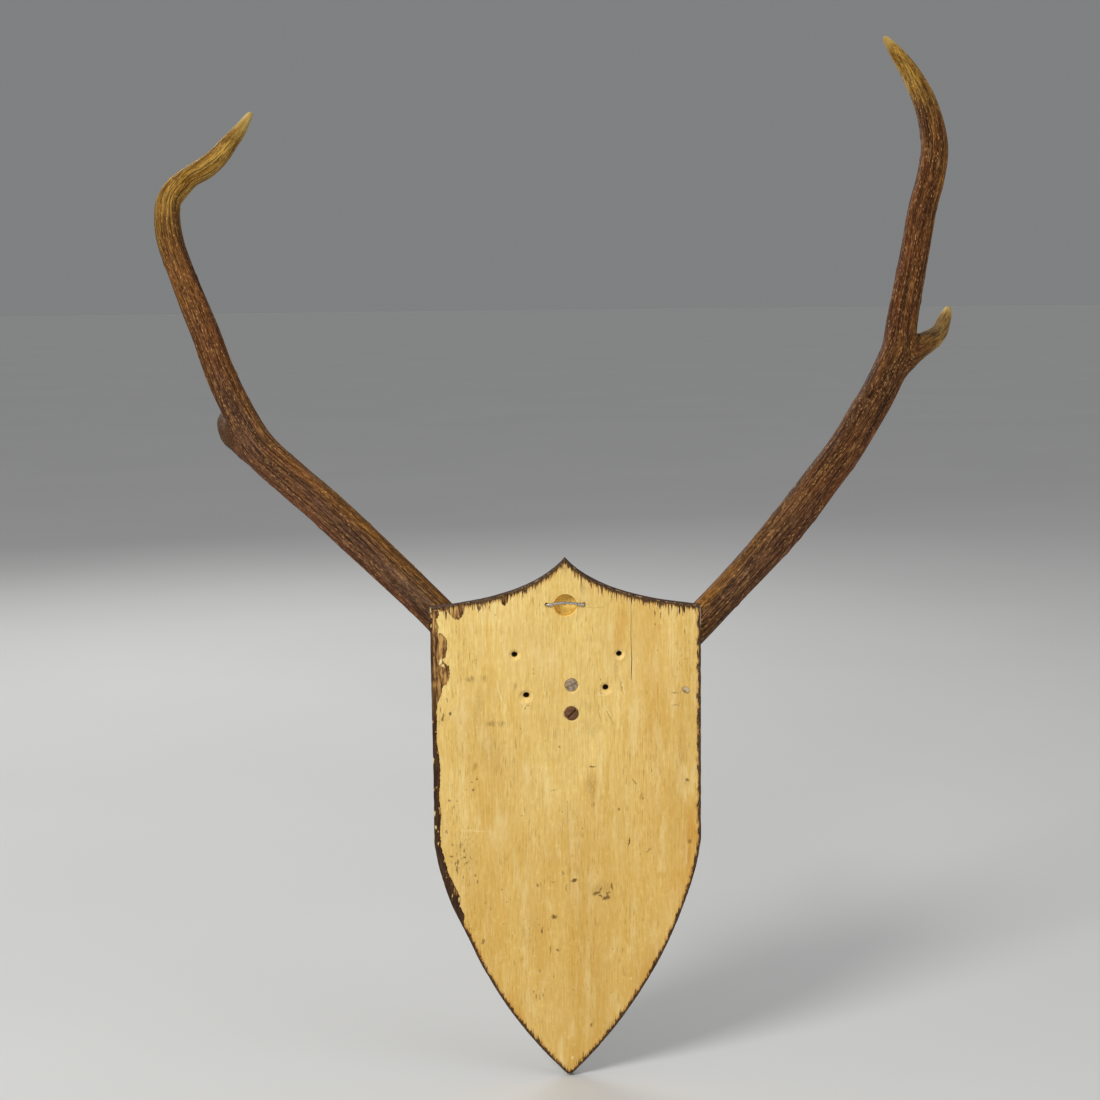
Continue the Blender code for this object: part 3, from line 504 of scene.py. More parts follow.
# Steels: bright and dull colour, share and colour of the rust, roughness where smooth and where rough
STEELS = {
    "bright_steel": ((208, 188, 162), (158, 136, 112), 0.18, (146, 106, 74), 0.40, 0.58),
    "rusty_steel": ((148, 114, 82), (110, 78, 52), 0.55, (130, 78, 44), 0.42, 0.62),
    "wire_steel": ((206, 204, 200), (150, 146, 142), 0.12, (120, 88, 62), 0.28, 0.45),
}

# Sets of thin scratches: turn about Y, and how the noise is drawn out for them
SCRATCH_WAYS = [(0.35, (1.0, 1.0, 0.04)), (1.25, (0.05, 1.0, 1.0)), (2.2, (1.0, 1.0, 0.06))]

# Kinds of a node group's sockets, where they aren't plain numbers
SOCKET_KINDS = {
    "Vector": "Vector", "Centre": "Vector", "Half Size": "Vector",
    "Pale": "Color", "Tan": "Color", "Vessel": "Color", "Color": "Color",
}

# Studio. Lamps: name, place, size, power and colour
FLOOR_RADIUS = 40.0
WORLD_LIGHT = (0.34, 0.345, 0.35, 1.0)
WORLD_SEEN = (0.215, 0.218, 0.221, 1.0)
LIT_PLACE = Vector((0.0, -0.08, 0.2))
LAMPS = [
    ("key", (1.5, 1.9, 1.9), 1.1, 62.0, (1.0, 0.98, 0.95)),
    ("fill", (-2.2, 1.2, 0.9), 2.0, 14.0, (0.95, 0.97, 1.0)),
    ("rear", (0.9, -2.4, 1.8), 1.8, 30.0, (1.0, 1.0, 1.0)),
]

# The photograph's camera: where it stands, its axes, and its lens and sensor in millimetres
CAMERA_PLACE = (0.0099, 1.7187, 0.4449)
CAMERA_RIGHT = (-0.99995, 0.0, -0.01047)
CAMERA_UP = (-0.01038, -0.13139, 0.99128)
CAMERA_BACK = (-0.00138, 0.99133, 0.13138)
CAMERA_LENS = 67.909
CAMERA_SENSOR = 36.0


# Tools for modelling

def pick(*pieces):
    """Select these pieces and no other, the first one active."""
    bpy.ops.object.select_all(action="DESELECT")
    for piece in pieces:
        piece.select_set(True)
    bpy.context.view_layer.objects.active = pieces[0]


def apply_modifier(piece, kind, **settings):
    modifier = piece.modifiers.new(kind, kind)
    for name, value in settings.items():
        setattr(modifier, name, value)
    pick(piece)
    bpy.ops.object.modifier_apply(modifier=modifier.name)


def join(name, pieces):
    pick(*pieces)
    bpy.ops.object.join()
    pieces[0].name = name
    return pieces[0]


def cut(piece, cutter):
    """Take the cutter's shape out of a piece, and then the cutter itself away."""
    apply_modifier(piece, "BOOLEAN", operation="DIFFERENCE", solver="EXACT", object=cutter)
    bpy.data.objects.remove(cutter)


def extrude_rings(name, rings):
    """A closed tube grown from a circle by extruding it from ring to ring."""
    bpy.ops.object.select_all(action="DESELECT")
    bpy.ops.mesh.primitive_circle_add(vertices=len(rings[0]))
    piece = bpy.context.object
    piece.name = name
    mesh = piece.data
    spokes = mesh.attributes.new("spoke", "INT", "POINT")
    spokes.data.foreach_set("value", np.arange(len(rings[0]), dtype=np.int32))
    bpy.ops.object.mode_set(mode="EDIT")
    bpy.ops.mesh.select_mode(type="VERT")
    bpy.ops.mesh.select_all(action="SELECT")
    lead_selected(mesh, rings[0])
    for ring in rings[1:]:
        bpy.ops.mesh.extrude_edges_indiv()
        lead_selected(mesh, ring)
    bpy.ops.mesh.select_all(action="SELECT")
    bpy.ops.mesh.fill_holes(sides=0)
    bpy.ops.mesh.select_all(action="SELECT")
    bpy.ops.mesh.normals_make_consistent(inside=False)
    bpy.ops.object.mode_set(mode="OBJECT")
    mesh.attributes.remove(mesh.attributes["spoke"])
    return piece


def lead_selected(mesh, ring):
    """Move each selected vertex to its own place in a ring."""
    edit = bmesh.from_edit_mesh(mesh)
    spoke = edit.verts.layers.int["spoke"]
    for vert in edit.verts:
        if vert.select:
            vert.co = ring[vert[spoke]]
    bmesh.update_edit_mesh(mesh)


def read_vectors(items, name):
    values = np.empty(len(items) * 3, dtype=np.float32)
    items.foreach_get(name, values)
    return values.reshape(-1, 3).astype(float)


def read_points(mesh):
    return read_vectors(mesh.vertices, "co")


def store(mesh, **layers):
    """Keep a number or a vector per vertex for a material to read."""
    for name, values in layers.items():
        values = np.asarray(values, dtype=np.float32)
        kind, field = ("FLOAT", "value") if values.ndim == 1 else ("FLOAT_VECTOR", "vector")
        mesh.attributes.new(name, kind, "POINT").data.foreach_set(field, values.ravel())


def dress(piece, *materials, smooth_below):
    """Give a piece its materials, in the order of its slots, and smooth shading below an angle."""
    piece.data.materials.clear()
    for material in materials:
        piece.data.materials.append(material)
    pick(piece)
    bpy.ops.object.shade_smooth_by_angle(angle=math.radians(smooth_below))


def grow_skin(piece, voxel, smoothing):
    """One skin over all of a piece's parts, smoothed a few times."""
    apply_modifier(piece, "REMESH", mode="VOXEL", voxel_size=voxel, use_smooth_shade=True)
    apply_modifier(piece, "SMOOTH", factor=0.5, iterations=smoothing)


def raise_skin(mesh, points, height):
    """Move each point out along its normal, and give the normals."""
    normals = read_vectors(mesh.vertex_normals, "vector")
    mesh.vertices.foreach_set("co", (points + normals * height[:, None]).astype(np.float32).ravel())
    mesh.update()
    return normals


def bisect(piece, planes, **settings):
    """Cut through all of a piece at each plane, given by a point and a direction."""
    pick(piece)
    bpy.ops.object.mode_set(mode="EDIT")
    for place, direction in planes:
        bpy.ops.mesh.select_all(action="SELECT")
        bpy.ops.mesh.bisect(plane_co=place, plane_no=direction, **settings)
    bpy.ops.object.mode_set(mode="OBJECT")


def smooth_step(values, low, high):
    share = np.clip((values - low) / (high - low), 0, 1)
    return share * share * (3 - 2 * share)


# Centre lines

def smooth_path(controls, step):
    """Catmull-Rom curve through points that carry a thickness, sampled about every step."""
    vectors = [Vector(control) for control in controls]
    before = vectors[0] * 2 - vectors[1]
    after = vectors[-1] * 2 - vectors[-2]
    padded = [before] + vectors + [after]
    samples = [vectors[0]]
    for i in range(len(vectors) - 1):
        a, b, c, d = padded[i:i + 4]
        count = max(1, round((c.xyz - b.xyz).length / step))
        for k in range(1, count + 1):
            t = k / count
            samples.append(0.5 * (2 * b + (c - a) * t + (2 * a - 5 * b + 4 * c - d) * t * t
                                  + (3 * b - a - 3 * c + d) * t ** 3))
    return samples


def path_frames(samples, side=Vector((0, -1, 0))):
    """Centre, tangent, first and second cross direction at each sample, turned as little as possible."""
    frames = []
    for i, sample in enumerate(samples):
        tangent = (samples[min(i + 1, len(samples) - 1)].xyz - samples[max(i - 1, 0)].xyz).normalized()
        side = (side - tangent * side.dot(tangent)).normalized()
        frames.append((sample.xyz, tangent, side, tangent.cross(side)))
    return frames


def ring_about(path_frame, radius, sides):
    centre, _, side, other = path_frame
    return [
        centre + (side * math.cos(math.tau * k / sides) + other * math.sin(math.tau * k / sides)) * radius
        for k in range(sides)
    ]


# Tools for materials

class Signal:
    """An output of a node, to be added, subtracted and multiplied like a number."""

    def __init__(self, socket):
        self.socket = socket
        self.tree = socket.id_data

    def __add__(self, other):
        return calculate("ADD", self, other)

    def __sub__(self, other):
        return calculate("SUBTRACT", self, other)

    def __rsub__(self, other):
        return calculate("SUBTRACT", other, self)

    def __mul__(self, other):
        return calculate("MULTIPLY", self, other)

    __radd__ = __add__


def paint(colour):
    """Red, green and blue from 0 to 255, as on screen, in the linear form that shaders want."""
    def linear(value):
        share = value / 255
        return share / 12.92 if share <= 0.04045 else ((share + 0.055) / 1.055) ** 2.4
    return (*(linear(value) for value in colour), 1.0)


def feed(socket, value):
    """Give an input a signal or a value. Three numbers for a colour are taken as on screen."""
    if isinstance(value, Signal):
        socket.id_data.links.new(value.socket, socket)
    elif socket.type == "RGBA" and len(value) == 3:
        socket.default_value = paint(value)
    else:
        socket.default_value = value


def add_node(tree, kind, *values, settings=None, **named):
    """Add a node, with its inputs by place or by name. Gives its outputs, which have both as well."""
    made = tree.nodes.new(kind)
    for name, value in (settings or {}).items():
        setattr(made, name, value)
    for place, value in enumerate(values):
        feed(made.inputs[place], value)
    for name, value in named.items():
        feed(made.inputs[name.replace("_", " ")], value)
    outputs = {}
    for place, socket in enumerate(made.outputs):
        outputs[place] = outputs[socket.name] = Signal(socket)
    return outputs


def calculate(operation, first, second, clamp=False):
    tree = first.tree if isinstance(first, Signal) else second.tree
    settings = {"operation": operation, "use_clamp": clamp}
    return add_node(tree, "ShaderNodeMath", first, second, settings=settings)[0]


def highest(first, *others):
    for other in others:
        first = calculate("MAXIMUM", first, other)
    return first


def combine(operation, first, second=(0.0, 0.0, 0.0), output=0):
    """Reckon with vectors, such as a pattern's coordinates."""
    settings = {"operation": operation}
    return add_node(first.tree, "ShaderNodeVectorMath", first, second, settings=settings)[output]


def split(vector):
    parts = add_node(vector.tree, "ShaderNodeSeparateXYZ", vector)
    return parts[0], parts[1], parts[2]


def turn_about_y(vector, angle):
    return add_node(vector.tree, "ShaderNodeVectorRotate", settings={"rotation_type": "Y_AXIS"},
                    Vector=vector, Angle=angle)[0]


def distance_from_y(vector):
    return combine("LENGTH", combine("MULTIPLY", vector, (1.0, 0.0, 1.0)), output="Value")


def mix(share, first, second):
    """One colour where the share is 0 and another where it is 1."""
    made = add_node(share.tree, "ShaderNodeMix", settings={"data_type": "RGBA"})
    node = made[2].socket.node
    for place, value in ((0, share), (6, first), (7, second)):
        feed(node.inputs[place], value)
    return made[2]


def paint_over(colour, *layers):
    """Lay colours over one another, each given with the share that it covers."""
    for share, tone in layers:
        colour = mix(share, colour, tone)
    return colour


def between(value, low, high, to_low=0.0, to_high=1.0):
    """A value brought from one range to another, with soft ends."""
    return add_node(value.tree, "ShaderNodeMapRange", settings={"interpolation_type": "SMOOTHSTEP"},
                    Value=value, From_Min=low, From_Max=high, To_Min=to_low, To_Max=to_high)[0]


def colour_ramp(share, stops):
    made = add_node(share.tree, "ShaderNodeValToRGB", share)
    elements = made[0].socket.node.color_ramp.elements
    while len(elements) < len(stops):
        elements.new(0.5)
    for element, (position, colour) in zip(elements, stops):
        element.position = position
        element.color = paint(colour)
    return made[0]


def along_grain(vector, share):
    """A pattern's coordinates drawn out along Z: the smaller the share, the longer the streaks."""
    return combine("MULTIPLY", vector, (1.0, 1.0, share))


def cloud(vector, scale, detail=4.0, roughness=0.55, drawn=1.0, distortion=0.0, output=0):
    """Noise, drawn out along the grain where a share below 1 is given for that."""
    if drawn != 1.0:
        vector = along_grain(vector, drawn)
    return add_node(vector.tree, "ShaderNodeTexNoise", Vector=vector, Scale=scale, Detail=detail,
                    Roughness=roughness, Distortion=distortion)[output]


def cells(vector, scale):
    return add_node(vector.tree, "ShaderNodeTexVoronoi", Vector=vector, Scale=scale)


def stored(tree, name, output="Fac"):
    """A number or vector that the mesh carries."""
    return add_node(tree, "ShaderNodeAttribute", settings={"attribute_name": name})[output]


def use(name, vector, **inputs):
    """The outputs of one of the node groups below."""
    settings = {"node_tree": bpy.data.node_groups[name]}
    return add_node(vector.tree, "ShaderNodeGroup", settings=settings, Vector=vector, **inputs)


def new_material(name):
    """A material, and a signal for the place on the object in metres."""
    material = bpy.data.materials.new(name)
    material.use_nodes = True
    return material, add_node(material.node_tree, "ShaderNodeTexCoord")["Object"]


def finish_material(material, colour, roughness, height=None, bump=0.0, specular=0.5, metallic=0.0):
    """Connect a look to the material's shader. bump is how far the height stands out, in metres."""
    shader = material.node_tree.nodes["Principled BSDF"]
    feed(shader.inputs["Base Color"], colour)
    feed(shader.inputs["Roughness"], roughness)
    feed(shader.inputs["Specular IOR Level"], specular)
    feed(shader.inputs["Metallic"], metallic)
    if height:
        raised = add_node(height.tree, "ShaderNodeBump", Height=height, Distance=bump, Strength=1.0)
        feed(shader.inputs["Normal"], raised["Normal"])
    return material


# Node groups: effects that several materials share

def make_group(name, inputs, outputs, draw):
    """draw takes a signal for each input and gives one for each output."""
    tree = bpy.data.node_groups.new(name, "ShaderNodeTree")
    for direction, labels in (("INPUT", inputs), ("OUTPUT", outputs)):
        for label in labels:
            kind = "NodeSocket" + SOCKET_KINDS.get(label, "Float")
            tree.interface.new_socket(name=label, in_out=direction, socket_type=kind)
    source = tree.nodes.new("NodeGroupInput").outputs
    sink = tree.nodes.new("NodeGroupOutput").inputs
    for label, value in zip(outputs, draw(*(Signal(source[label]) for label in inputs))):
        feed(sink[label], value)


def draw_fibres(vector, across, run):
    """Streaks that run along Z: fine fibres, and broad bands among them."""
    x, y, z = split(vector)
    drawn = add_node(vector.tree, "ShaderNodeCombineXYZ", x, y, calculate("DIVIDE", z, run))[0]
    fine = cloud(drawn, across, 4.0, 0.62)
    broad = cloud(drawn, across * 0.17, 2.0, 0.5)
    return between(fine, 0.28, 0.72), between(broad, 0.3, 0.7)


def draw_blotches(vector, size, cover, softness):
    """Irregular patches: how much of the surface they cover, and how soft their edges are."""
    level = 0.75 - cover * 0.5
    return [between(cloud(vector, size, 5.0, 0.6), level - softness, level + softness)]


def draw_pits(vector, density, width, cover):
    """Small scattered dots, thin in some places and thick in others."""
    dots = between(cells(vector, density)["Distance"], width, width * 0.45)
    bare = 0.8 - cover * 0.6
    return [dots * between(cloud(vector, density * 0.12, 2.0), bare, bare + 0.08)]


def draw_mark(vector, centre, half_size, turn, softness):
    """One mark on a flat back: a turned ellipse about a point, whose edge the caller makes ragged."""
    turned = turn_about_y(combine("SUBTRACT", vector, centre), turn)
    reach = distance_from_y(combine("DIVIDE", turned, half_size))
    return [between(reach, softness * 0.6 + 1.0, 1.0 - softness)]


def draw_scratches(vector, density):
    """Thin crossing lines, as on handled metal or varnish."""
    total = 0.0
    for turn, drawn in SCRATCH_WAYS:
        lines = cloud(combine("MULTIPLY", turn_about_y(vector, turn), drawn), density, 1.0, 0.5)
        total = between(lines, 0.64, 0.70) + total
    return [calculate("MINIMUM", total, 1.0)]


def draw_grain(vector, pale, tan, vessel):
    """Wood with its grain along Z: its colour between three given ones, and the height of its grain."""
    clouds = between(cloud(vector, 24.0, 4.0, 0.55, 0.28, 0.5), 0.3, 0.7)
    planks = between(cloud(vector, 75.0, 3.0, 0.55, 0.09, 0.2), 0.3, 0.7)
    streaks = use("fibres", vector, Across=420.0, Stretch=18.0)["Fine"]
    hairs = use("fibres", vector, Across=780.0, Stretch=14.0)["Fine"]
    tone = clouds * 0.26 + planks * 0.18 + streaks * 0.24 + hairs * 0.38
    vessels = between(cloud(vector, 900.0, 2.0, 0.5, 0.10), 0.57, 0.71)
    vessels *= between(cloud(vector, 38.0, 3.0, drawn=0.35), 0.36, 0.62)
    return mix(vessels * 0.55, mix(tone, pale, tan), vessel), streaks * -0.3 - hairs * 0.4 - vessels * 0.8


def draw_bark(vector, ridge, pearl, rough):
    """Antler bark along a run: its tone, dark grooves, pale dashes and beads, and the height of it all."""
    tone = between(cloud(vector, 170.0, 3.0, drawn=0.12) + ridge * 0.20, 0.25, 0.75)
    long_lines = between(cloud(vector, 640.0, 1.0, 0.5, 0.030, 0.12), 0.49, 0.37)
    thin_lines = between(cloud(vector, 1250.0, 1.0, 0.5, 0.075), 0.48, 0.36)
    grooves = highest(long_lines, thin_lines * 0.75) * rough
    flecks = between(cloud(vector, 950.0, 1.0, 0.5, 0.26), 0.56, 0.66)
    found = cells(along_grain(vector, 0.42), 500.0)
    chosen = add_node(vector.tree, "ShaderNodeSeparateColor", found["Color"])["Red"]
    beads = between(found["Distance"], 0.36, 0.20) * between(chosen, 0.34, 0.50)
    beads *= between(cloud(vector, 150.0, 2.0, drawn=0.16), 0.40, 0.58, 0.20, 1.0)
    dashes = highest(beads, pearl * 0.55, flecks * 0.45) * (1.0 - grooves * 0.55) * rough
    return tone, grooves, dashes, dashes * 0.45 - grooves


def make_groups():
    """Name, inputs beside the vector, outputs and drawing of each group."""
    for name, inputs, outputs, draw in (
        ("fibres", ["Across", "Stretch"], ["Fine", "Broad"], draw_fibres),
        ("blotches", ["Size", "Cover", "Softness"], ["Mask"], draw_blotches),
        ("pits", ["Density", "Width", "Cover"], ["Mask"], draw_pits),
        ("mark", ["Centre", "Half Size", "Turn", "Softness"], ["Mask"], draw_mark),
        ("scratches", ["Density"], ["Mask"], draw_scratches),
        ("wood_grain", ["Pale", "Tan", "Vessel"], ["Color", "Height"], draw_grain),
        ("bark", ["Ridge", "Pearl", "Rough"], ["Tone", "Grooves", "Dashes", "Height"], draw_bark),
    ):
        make_group(name, ["Vector"] + inputs, outputs, draw)


# Materials of the board

def marks_on(vector, marks, softness):
    """The strongest of many marks at each point."""
    masks = []
    for across, height, half_width, half_height, turn, strength in marks:
        mark = use("mark", vector, Centre=(across * MILLIMETRE, 0.0, height * MILLIMETRE),
                   Half_Size=(half_width * MILLIMETRE, 1.0, half_height * MILLIMETRE),
                   Turn=math.radians(turn), Softness=softness)
        masks.append(mark["Mask"] * strength)
    return highest(*masks)


def ragged(vector, scale, amount, drawn=1.0):
    """Coordinates pushed about by noise, so that what is drawn on them gets a ragged edge."""
    push = combine("SUBTRACT", cloud(vector, scale, 3.0, 0.5, drawn, output="Color"), (0.5, 0.5, 0.5))
    return combine("ADD", vector, combine("MULTIPLY", push, (amount, amount, amount)))


def edge_chips(place):
    return marks_on(ragged(place, 620.0, 0.0024), EDGE_CHIPS, 0.4)


def edge_stain(place):
    """Stain that ran in from the edges, in teeth along the grain: its dark part and its halo."""
    teeth = between(cloud(place, 800.0, 3.0, 0.65, 0.05), 0.42, 0.76)
    clumps = between(cloud(place, 130.0, 2.0, 0.5, 0.12), 0.32, 0.58, 0.42, 1.0)
    reach = teeth * 0.0115 * clumps + 0.0020
    band = between(cloud(place, 420.0, 4.0, 0.65, 0.3), 0.38, 0.70, 0.0019, 0.0044)
    room = highest(reach - stored(place.tree, "grain_run"), band - stored(place.tree, "rim"))
    return between(room, -0.0003, 0.0007), between(room, -0.0022, 0.0)


def back_colour(place, grain, crumbs, patina, loose, scratches):
    """The bare back's wood, with its stains and pale streaks and without its dark marks."""
    mottle = cloud(place, 360.0, 4.0, 0.7, 0.40)
    bloom = cloud(place, 95.0, 4.0, 0.6, 0.22)
    return paint_over(
        grain["Color"],
        # Darker and more orange towards the bottom of the back
        (between(split(place)[2], 0.12, -0.16, 0.0, 0.40), BACK["darker_towards_bottom"]),
        (marks_on(loose, ORANGE_STAINS, 0.9), BACK["orange"]),
        (between(mottle, 0.42, 0.62, 0.0, 0.16), BACK["mottle"]),
        (between(mottle, 0.46, 0.32, 0.0, 0.22), BACK["pale_mottle"]),
        (patina * 0.35, BACK["patina"]),
        (marks_on(loose, DARK_MARKS["soft_stains"], 0.8) * crumbs, BACK["soft_stain"]),
        (between(bloom, 0.50, 0.72, 0.0, 0.45), BACK["bloom"]),
        (scratches, BACK["scratch"]),
    )


def dark_marks(place, warped, loose):
    """The share of everything dark on the bare back: marks, specks in patches, and dots of dust."""
    layers = [marks_on(warped, DARK_MARKS[kind], 0.5) for kind in SHARP_MARKS]
    specks = between(cloud(place, 620.0, 4.0, 0.65, 0.36), 0.58, 0.66)
    layers.append(specks * marks_on(loose, SPECKLED_PATCHES, 0.8) * 0.95)
    dust = use("pits", along_grain(place, 0.6), Density=120.0, Width=0.085, Cover=0.55)
    layers.append(dust["Mask"] * 0.6)
    return highest(*layers)


def make_bare_back():
    """The board's back: pale wood, handled, marked, and stained at its edges."""
    material, place = new_material("bare_back")
    grain = use("wood_grain", place, **BACK_GRAIN)
    warped = ragged(place, 620.0, 0.0034, 0.5)
    loose = ragged(place, 60.0, 0.016, 0.4)
    patina = use("blotches", along_grain(place, 0.35), Size=26.0, Cover=0.45, Softness=0.16)["Mask"]
    crumbs = between(cloud(place, 900.0, 3.0, 0.6, 0.4), 0.38, 0.62, 0.25, 1.0)
    scratches = marks_on(warped, PALE_SCRATCHES, 0.5)
    dark = dark_marks(place, warped, loose)
    stain, halo = edge_stain(place)
    colour = paint_over(
        back_colour(place, grain, crumbs, patina, loose, scratches),
        (dark * 0.92, BACK["dark"]),
        *((marks_on(place, [mark], 0.35), tone) for mark, tone in NAIL_PLUG),
        (halo * 0.55, BACK["halo"]),
        (stain * between(crumbs, 0.2, 1.0, 0.82, 0.98), BACK["stain"]),
    )
    height = grain["Height"] - dark * 0.8 - scratches * 0.8
    return finish_material(material, colour, patina * -0.12 + 0.68, height, 0.00022, specular=0.22)


def make_torn_veneer():
    """The layer under the veneer where it is torn away: rough, streaked brown, with pale splinters."""
    material, place = new_material("torn_veneer")
    streaks = use("fibres", place, Across=640.0, Stretch=8.0)["Fine"]
    coarse = cloud(place, 340.0, 4.0, 0.65, 0.16)
    low_down = between(split(place)[2], 0.105, 0.065)
    reach = between(cloud(place, 420.0, 4.0, 0.65, 0.12), 0.40, 0.75, 0.0014, 0.0068)
    room = reach + low_down * 0.0042 - stored(place.tree, "rim")
    stain = between(room, -0.0010, 0.0008) * between(low_down, 0.0, 1.0, 0.72, 0.93)
    splinters = between(cloud(place, 380.0, 3.0, 0.5, 0.30), 0.64, 0.67)
    colour = paint_over(
        colour_ramp(streaks * 0.45 + coarse * 0.55, TORN_RAMP),
        (stain, TORN["stain"]),
        (splinters * 0.9, TORN["splinter"]),
        (edge_chips(place), TORN["chip"]),
    )
    height = streaks + splinters * 0.8 + coarse
    return finish_material(material, colour, 0.8, height, 0.0005, specular=0.2)


def make_drilled_wood(name, pale, tan, lines, shade_start_depth, shade_full_depth):
    """Wood inside a drilled hole, darkened deeper in by painted shade. lines is how strongly the drill's
    turning shows.
    """
    material, place = new_material(name)
    grain = use("wood_grain", place, Pale=pale, Tan=tan, Vessel=HOLE["vessel"])
    from_recess = combine("ADD", place, (0.0, 0.0, -RECESS_HEIGHT))
    turns = calculate("SINE", distance_from_y(from_recess) * DRILL_LINES, 0.0) * lines
    # Painted shade: how far into the hole the wood is darkened
    painted_depth_shade = between(split(place)[1], -shade_start_depth, -shade_full_depth)
    dirt_and_depth_shade = use("blotches", place, Size=240.0, Cover=0.4, Softness=0.1)["Mask"]
    colour = paint_over(
        grain["Color"],
        # Painted shade deeper in the hole, laid on with the same dark colour as the real dirt blotches
        (highest(dirt_and_depth_shade * 0.10, painted_depth_shade) * 0.8, HOLE["dirt_and_depth_shade"]),
        (between(turns, 0.2, 1.0) * 0.35, HOLE["line"]),
    )
    return finish_material(material, colour, 0.7, turns + grain["Height"], 0.0002)


def make_stained_edge():
    """The board's edges and front: dark stain under old varnish, rubbed through at the arrises."""
    material, place = new_material("stained_wood")
    grain = use("wood_grain", place, **EDGE_GRAIN)
    face = use("wood_grain", place, **FRONT_GRAIN)
    depth = split(place)[1]
    front = between(depth, -0.0105, -0.0125)
    uneven = use("blotches", place, Size=38.0, Cover=0.5, Softness=0.18)["Mask"]
    wear = stored(place.tree, "wear")
    crumble = cloud(place, 330.0, 4.0, 0.7, 0.4)
    rubbed = wear * between(crumble, 0.52, 0.60)
    scuffs = use("scratches", place, Density=520.0)["Mask"] * between(uneven, 0.4, 1.0, 0.2, 1.0)
    upward = split(add_node(place.tree, "ShaderNodeNewGeometry")["Normal"])[2]
    colour = paint_over(
        mix(front, grain["Color"], face["Color"]),
        (uneven * 0.55, EDGE["uneven"]),
        (rubbed, EDGE["rubbed"]),
        (wear * between(crumble, 0.36, 0.56, 0.0, 0.5), EDGE["worn_thin"]),
        (scuffs * 0.07, EDGE["scuff"]),
        (between(upward, 0.35, 0.95) * between(crumble, 0.3, 0.7, 0.0, 0.05), EDGE["dust"]),
        (edge_chips(place) * between(depth, -0.0040, -0.0020), EDGE["chip"]),
    )
    rough = calculate("ADD", rubbed * 0.25 + 0.52, between(front, 0.0, 1.0, 0.30, 0.0), clamp=True)
    height = grain["Height"] - rubbed * 0.9 - scuffs * 0.4
    return finish_material(material, colour, rough, height, 0.00025, specular=0.18)


# Materials of the antlers and the skull

def tinted(patches, share, amount, colour, tint):
    """A colour laid over another one where its share is high, broken up by patches."""
    return mix(share * between(patches, 0.25, 0.75, 0.35, 1.0) * amount, colour, tint)


def dark_antler(vector, bark, patchy, streaky, tints):
    """The lower beam: brown, with grey, red and amber parts, dark grooves and pale beads."""
    amber, red, grey = tints
    everywhere = between(cloud(vector, 50.0, 3.0, drawn=0.14), 0.45, 0.65)
    colour = mix(bark["Tone"], ANTLER["dark"], ANTLER["brown"])
    colour = tinted(patchy, grey, 0.75, colour, ANTLER["grey"])
    colour = tinted(patchy, everywhere, 0.40, colour, ANTLER["warm"])
    colour = tinted(patchy, red, 0.8, colour, ANTLER["red"])
    colour = tinted(streaky, amber, 0.9, colour, ANTLER["amber"])
    bare_share = calculate("SUBTRACT", 1.0, stored(vector.tree, "rough"), clamp=True)
    return paint_over(
        colour,
        (bark["Grooves"] * 0.78, ANTLER["groove"]),
        (bark["Dashes"] * 0.78, mix(amber, ANTLER["bead"], ANTLER["amber_bead"])),
        (bare_share, mix(between(streaky, 0.36, 0.62), ANTLER["polished_dark"], ANTLER["polished"])),
    )


def golden_antler(bark, streaky, amber):
    colour = mix(bark["Tone"], ANTLER["golden_dark"], ANTLER["golden"])
    return paint_over(
        tinted(streaky, amber, 0.65, colour, ANTLER["golden_amber"]),
        (bark["Grooves"] * 0.74, ANTLER["golden_groove"]),
        (bark["Dashes"] * 0.60, ANTLER["golden_bead"]),
    )


def make_antler_material():
    """Antler: grooved and beaded, dark below, golden above and ivory at the points."""
    material, place = new_material("antler")
    tree = place.tree
    vector = stored(tree, "bark", "Vector")
    bark = use("bark", vector, Ridge=stored(tree, "ridge"), Pearl=stored(tree, "pearl"),
               Rough=stored(tree, "rough"))
    patchy = cloud(vector, 130.0, 3.0, drawn=0.16)
    streaky = cloud(vector, 300.0, 3.0, drawn=0.07)
    tints = split(stored(tree, "tints", "Vector"))
    gold = stored(tree, "gold") + between(patchy, 0.3, 0.7) * 0.20 + between(streaky, 0.35, 0.65) * 0.26
    ivory = between(stored(tree, "ivory"), 0.0, 1.0, 0.0, 0.9)
    colour = paint_over(
        dark_antler(vector, bark, patchy, streaky, tints),
        (between(gold, 0.32, 1.02), golden_antler(bark, streaky, tints[0])),
        (ivory, mix(bark["Tone"], ANTLER["point"], ANTLER["ivory"])),
    )
    rough = between(bark["Dashes"], 0.0, 1.0, 0.62, 0.45)
    return finish_material(material, colour, rough, bark["Height"], 0.0006, specular=0.11)


def make_bone_material():
    """Skull bone: ivory with brown stains, pores and dark seams."""
    material, place = new_material("skull_bone")
    mottle = cloud(place, 90.0, 6.0, 0.62)
    stains = use("blotches", place, Size=48.0, Cover=0.42, Softness=0.10)["Mask"]
    pores = use("pits", place, Density=900.0, Width=0.30, Cover=0.55)["Mask"]
    big_pores = use("pits", place, Density=330.0, Width=0.22, Cover=0.5)["Mask"]
    pores = highest(pores * 0.7, big_pores)
    colour = paint_over(
        colour_ramp(mottle, BONE_RAMP),
        (stains * 0.45, BONE["stain"]),
        (between(stored(place.tree, "stem"), 0.1, 1.0) * 0.6, BONE["stem"]),
        (pores * 0.6, BONE["pore"]),
        (stored(place.tree, "seam") * 0.5, BONE["seam"]),
    )
    height = cloud(place, 620.0, 4.0, 0.6) * 0.35 + mottle * 0.8 - pores * 0.8
    return finish_material(material, colour, between(mottle, 0.3, 0.7, 0.62, 0.48), height, 0.0006)


# Materials of the metal and of the studio

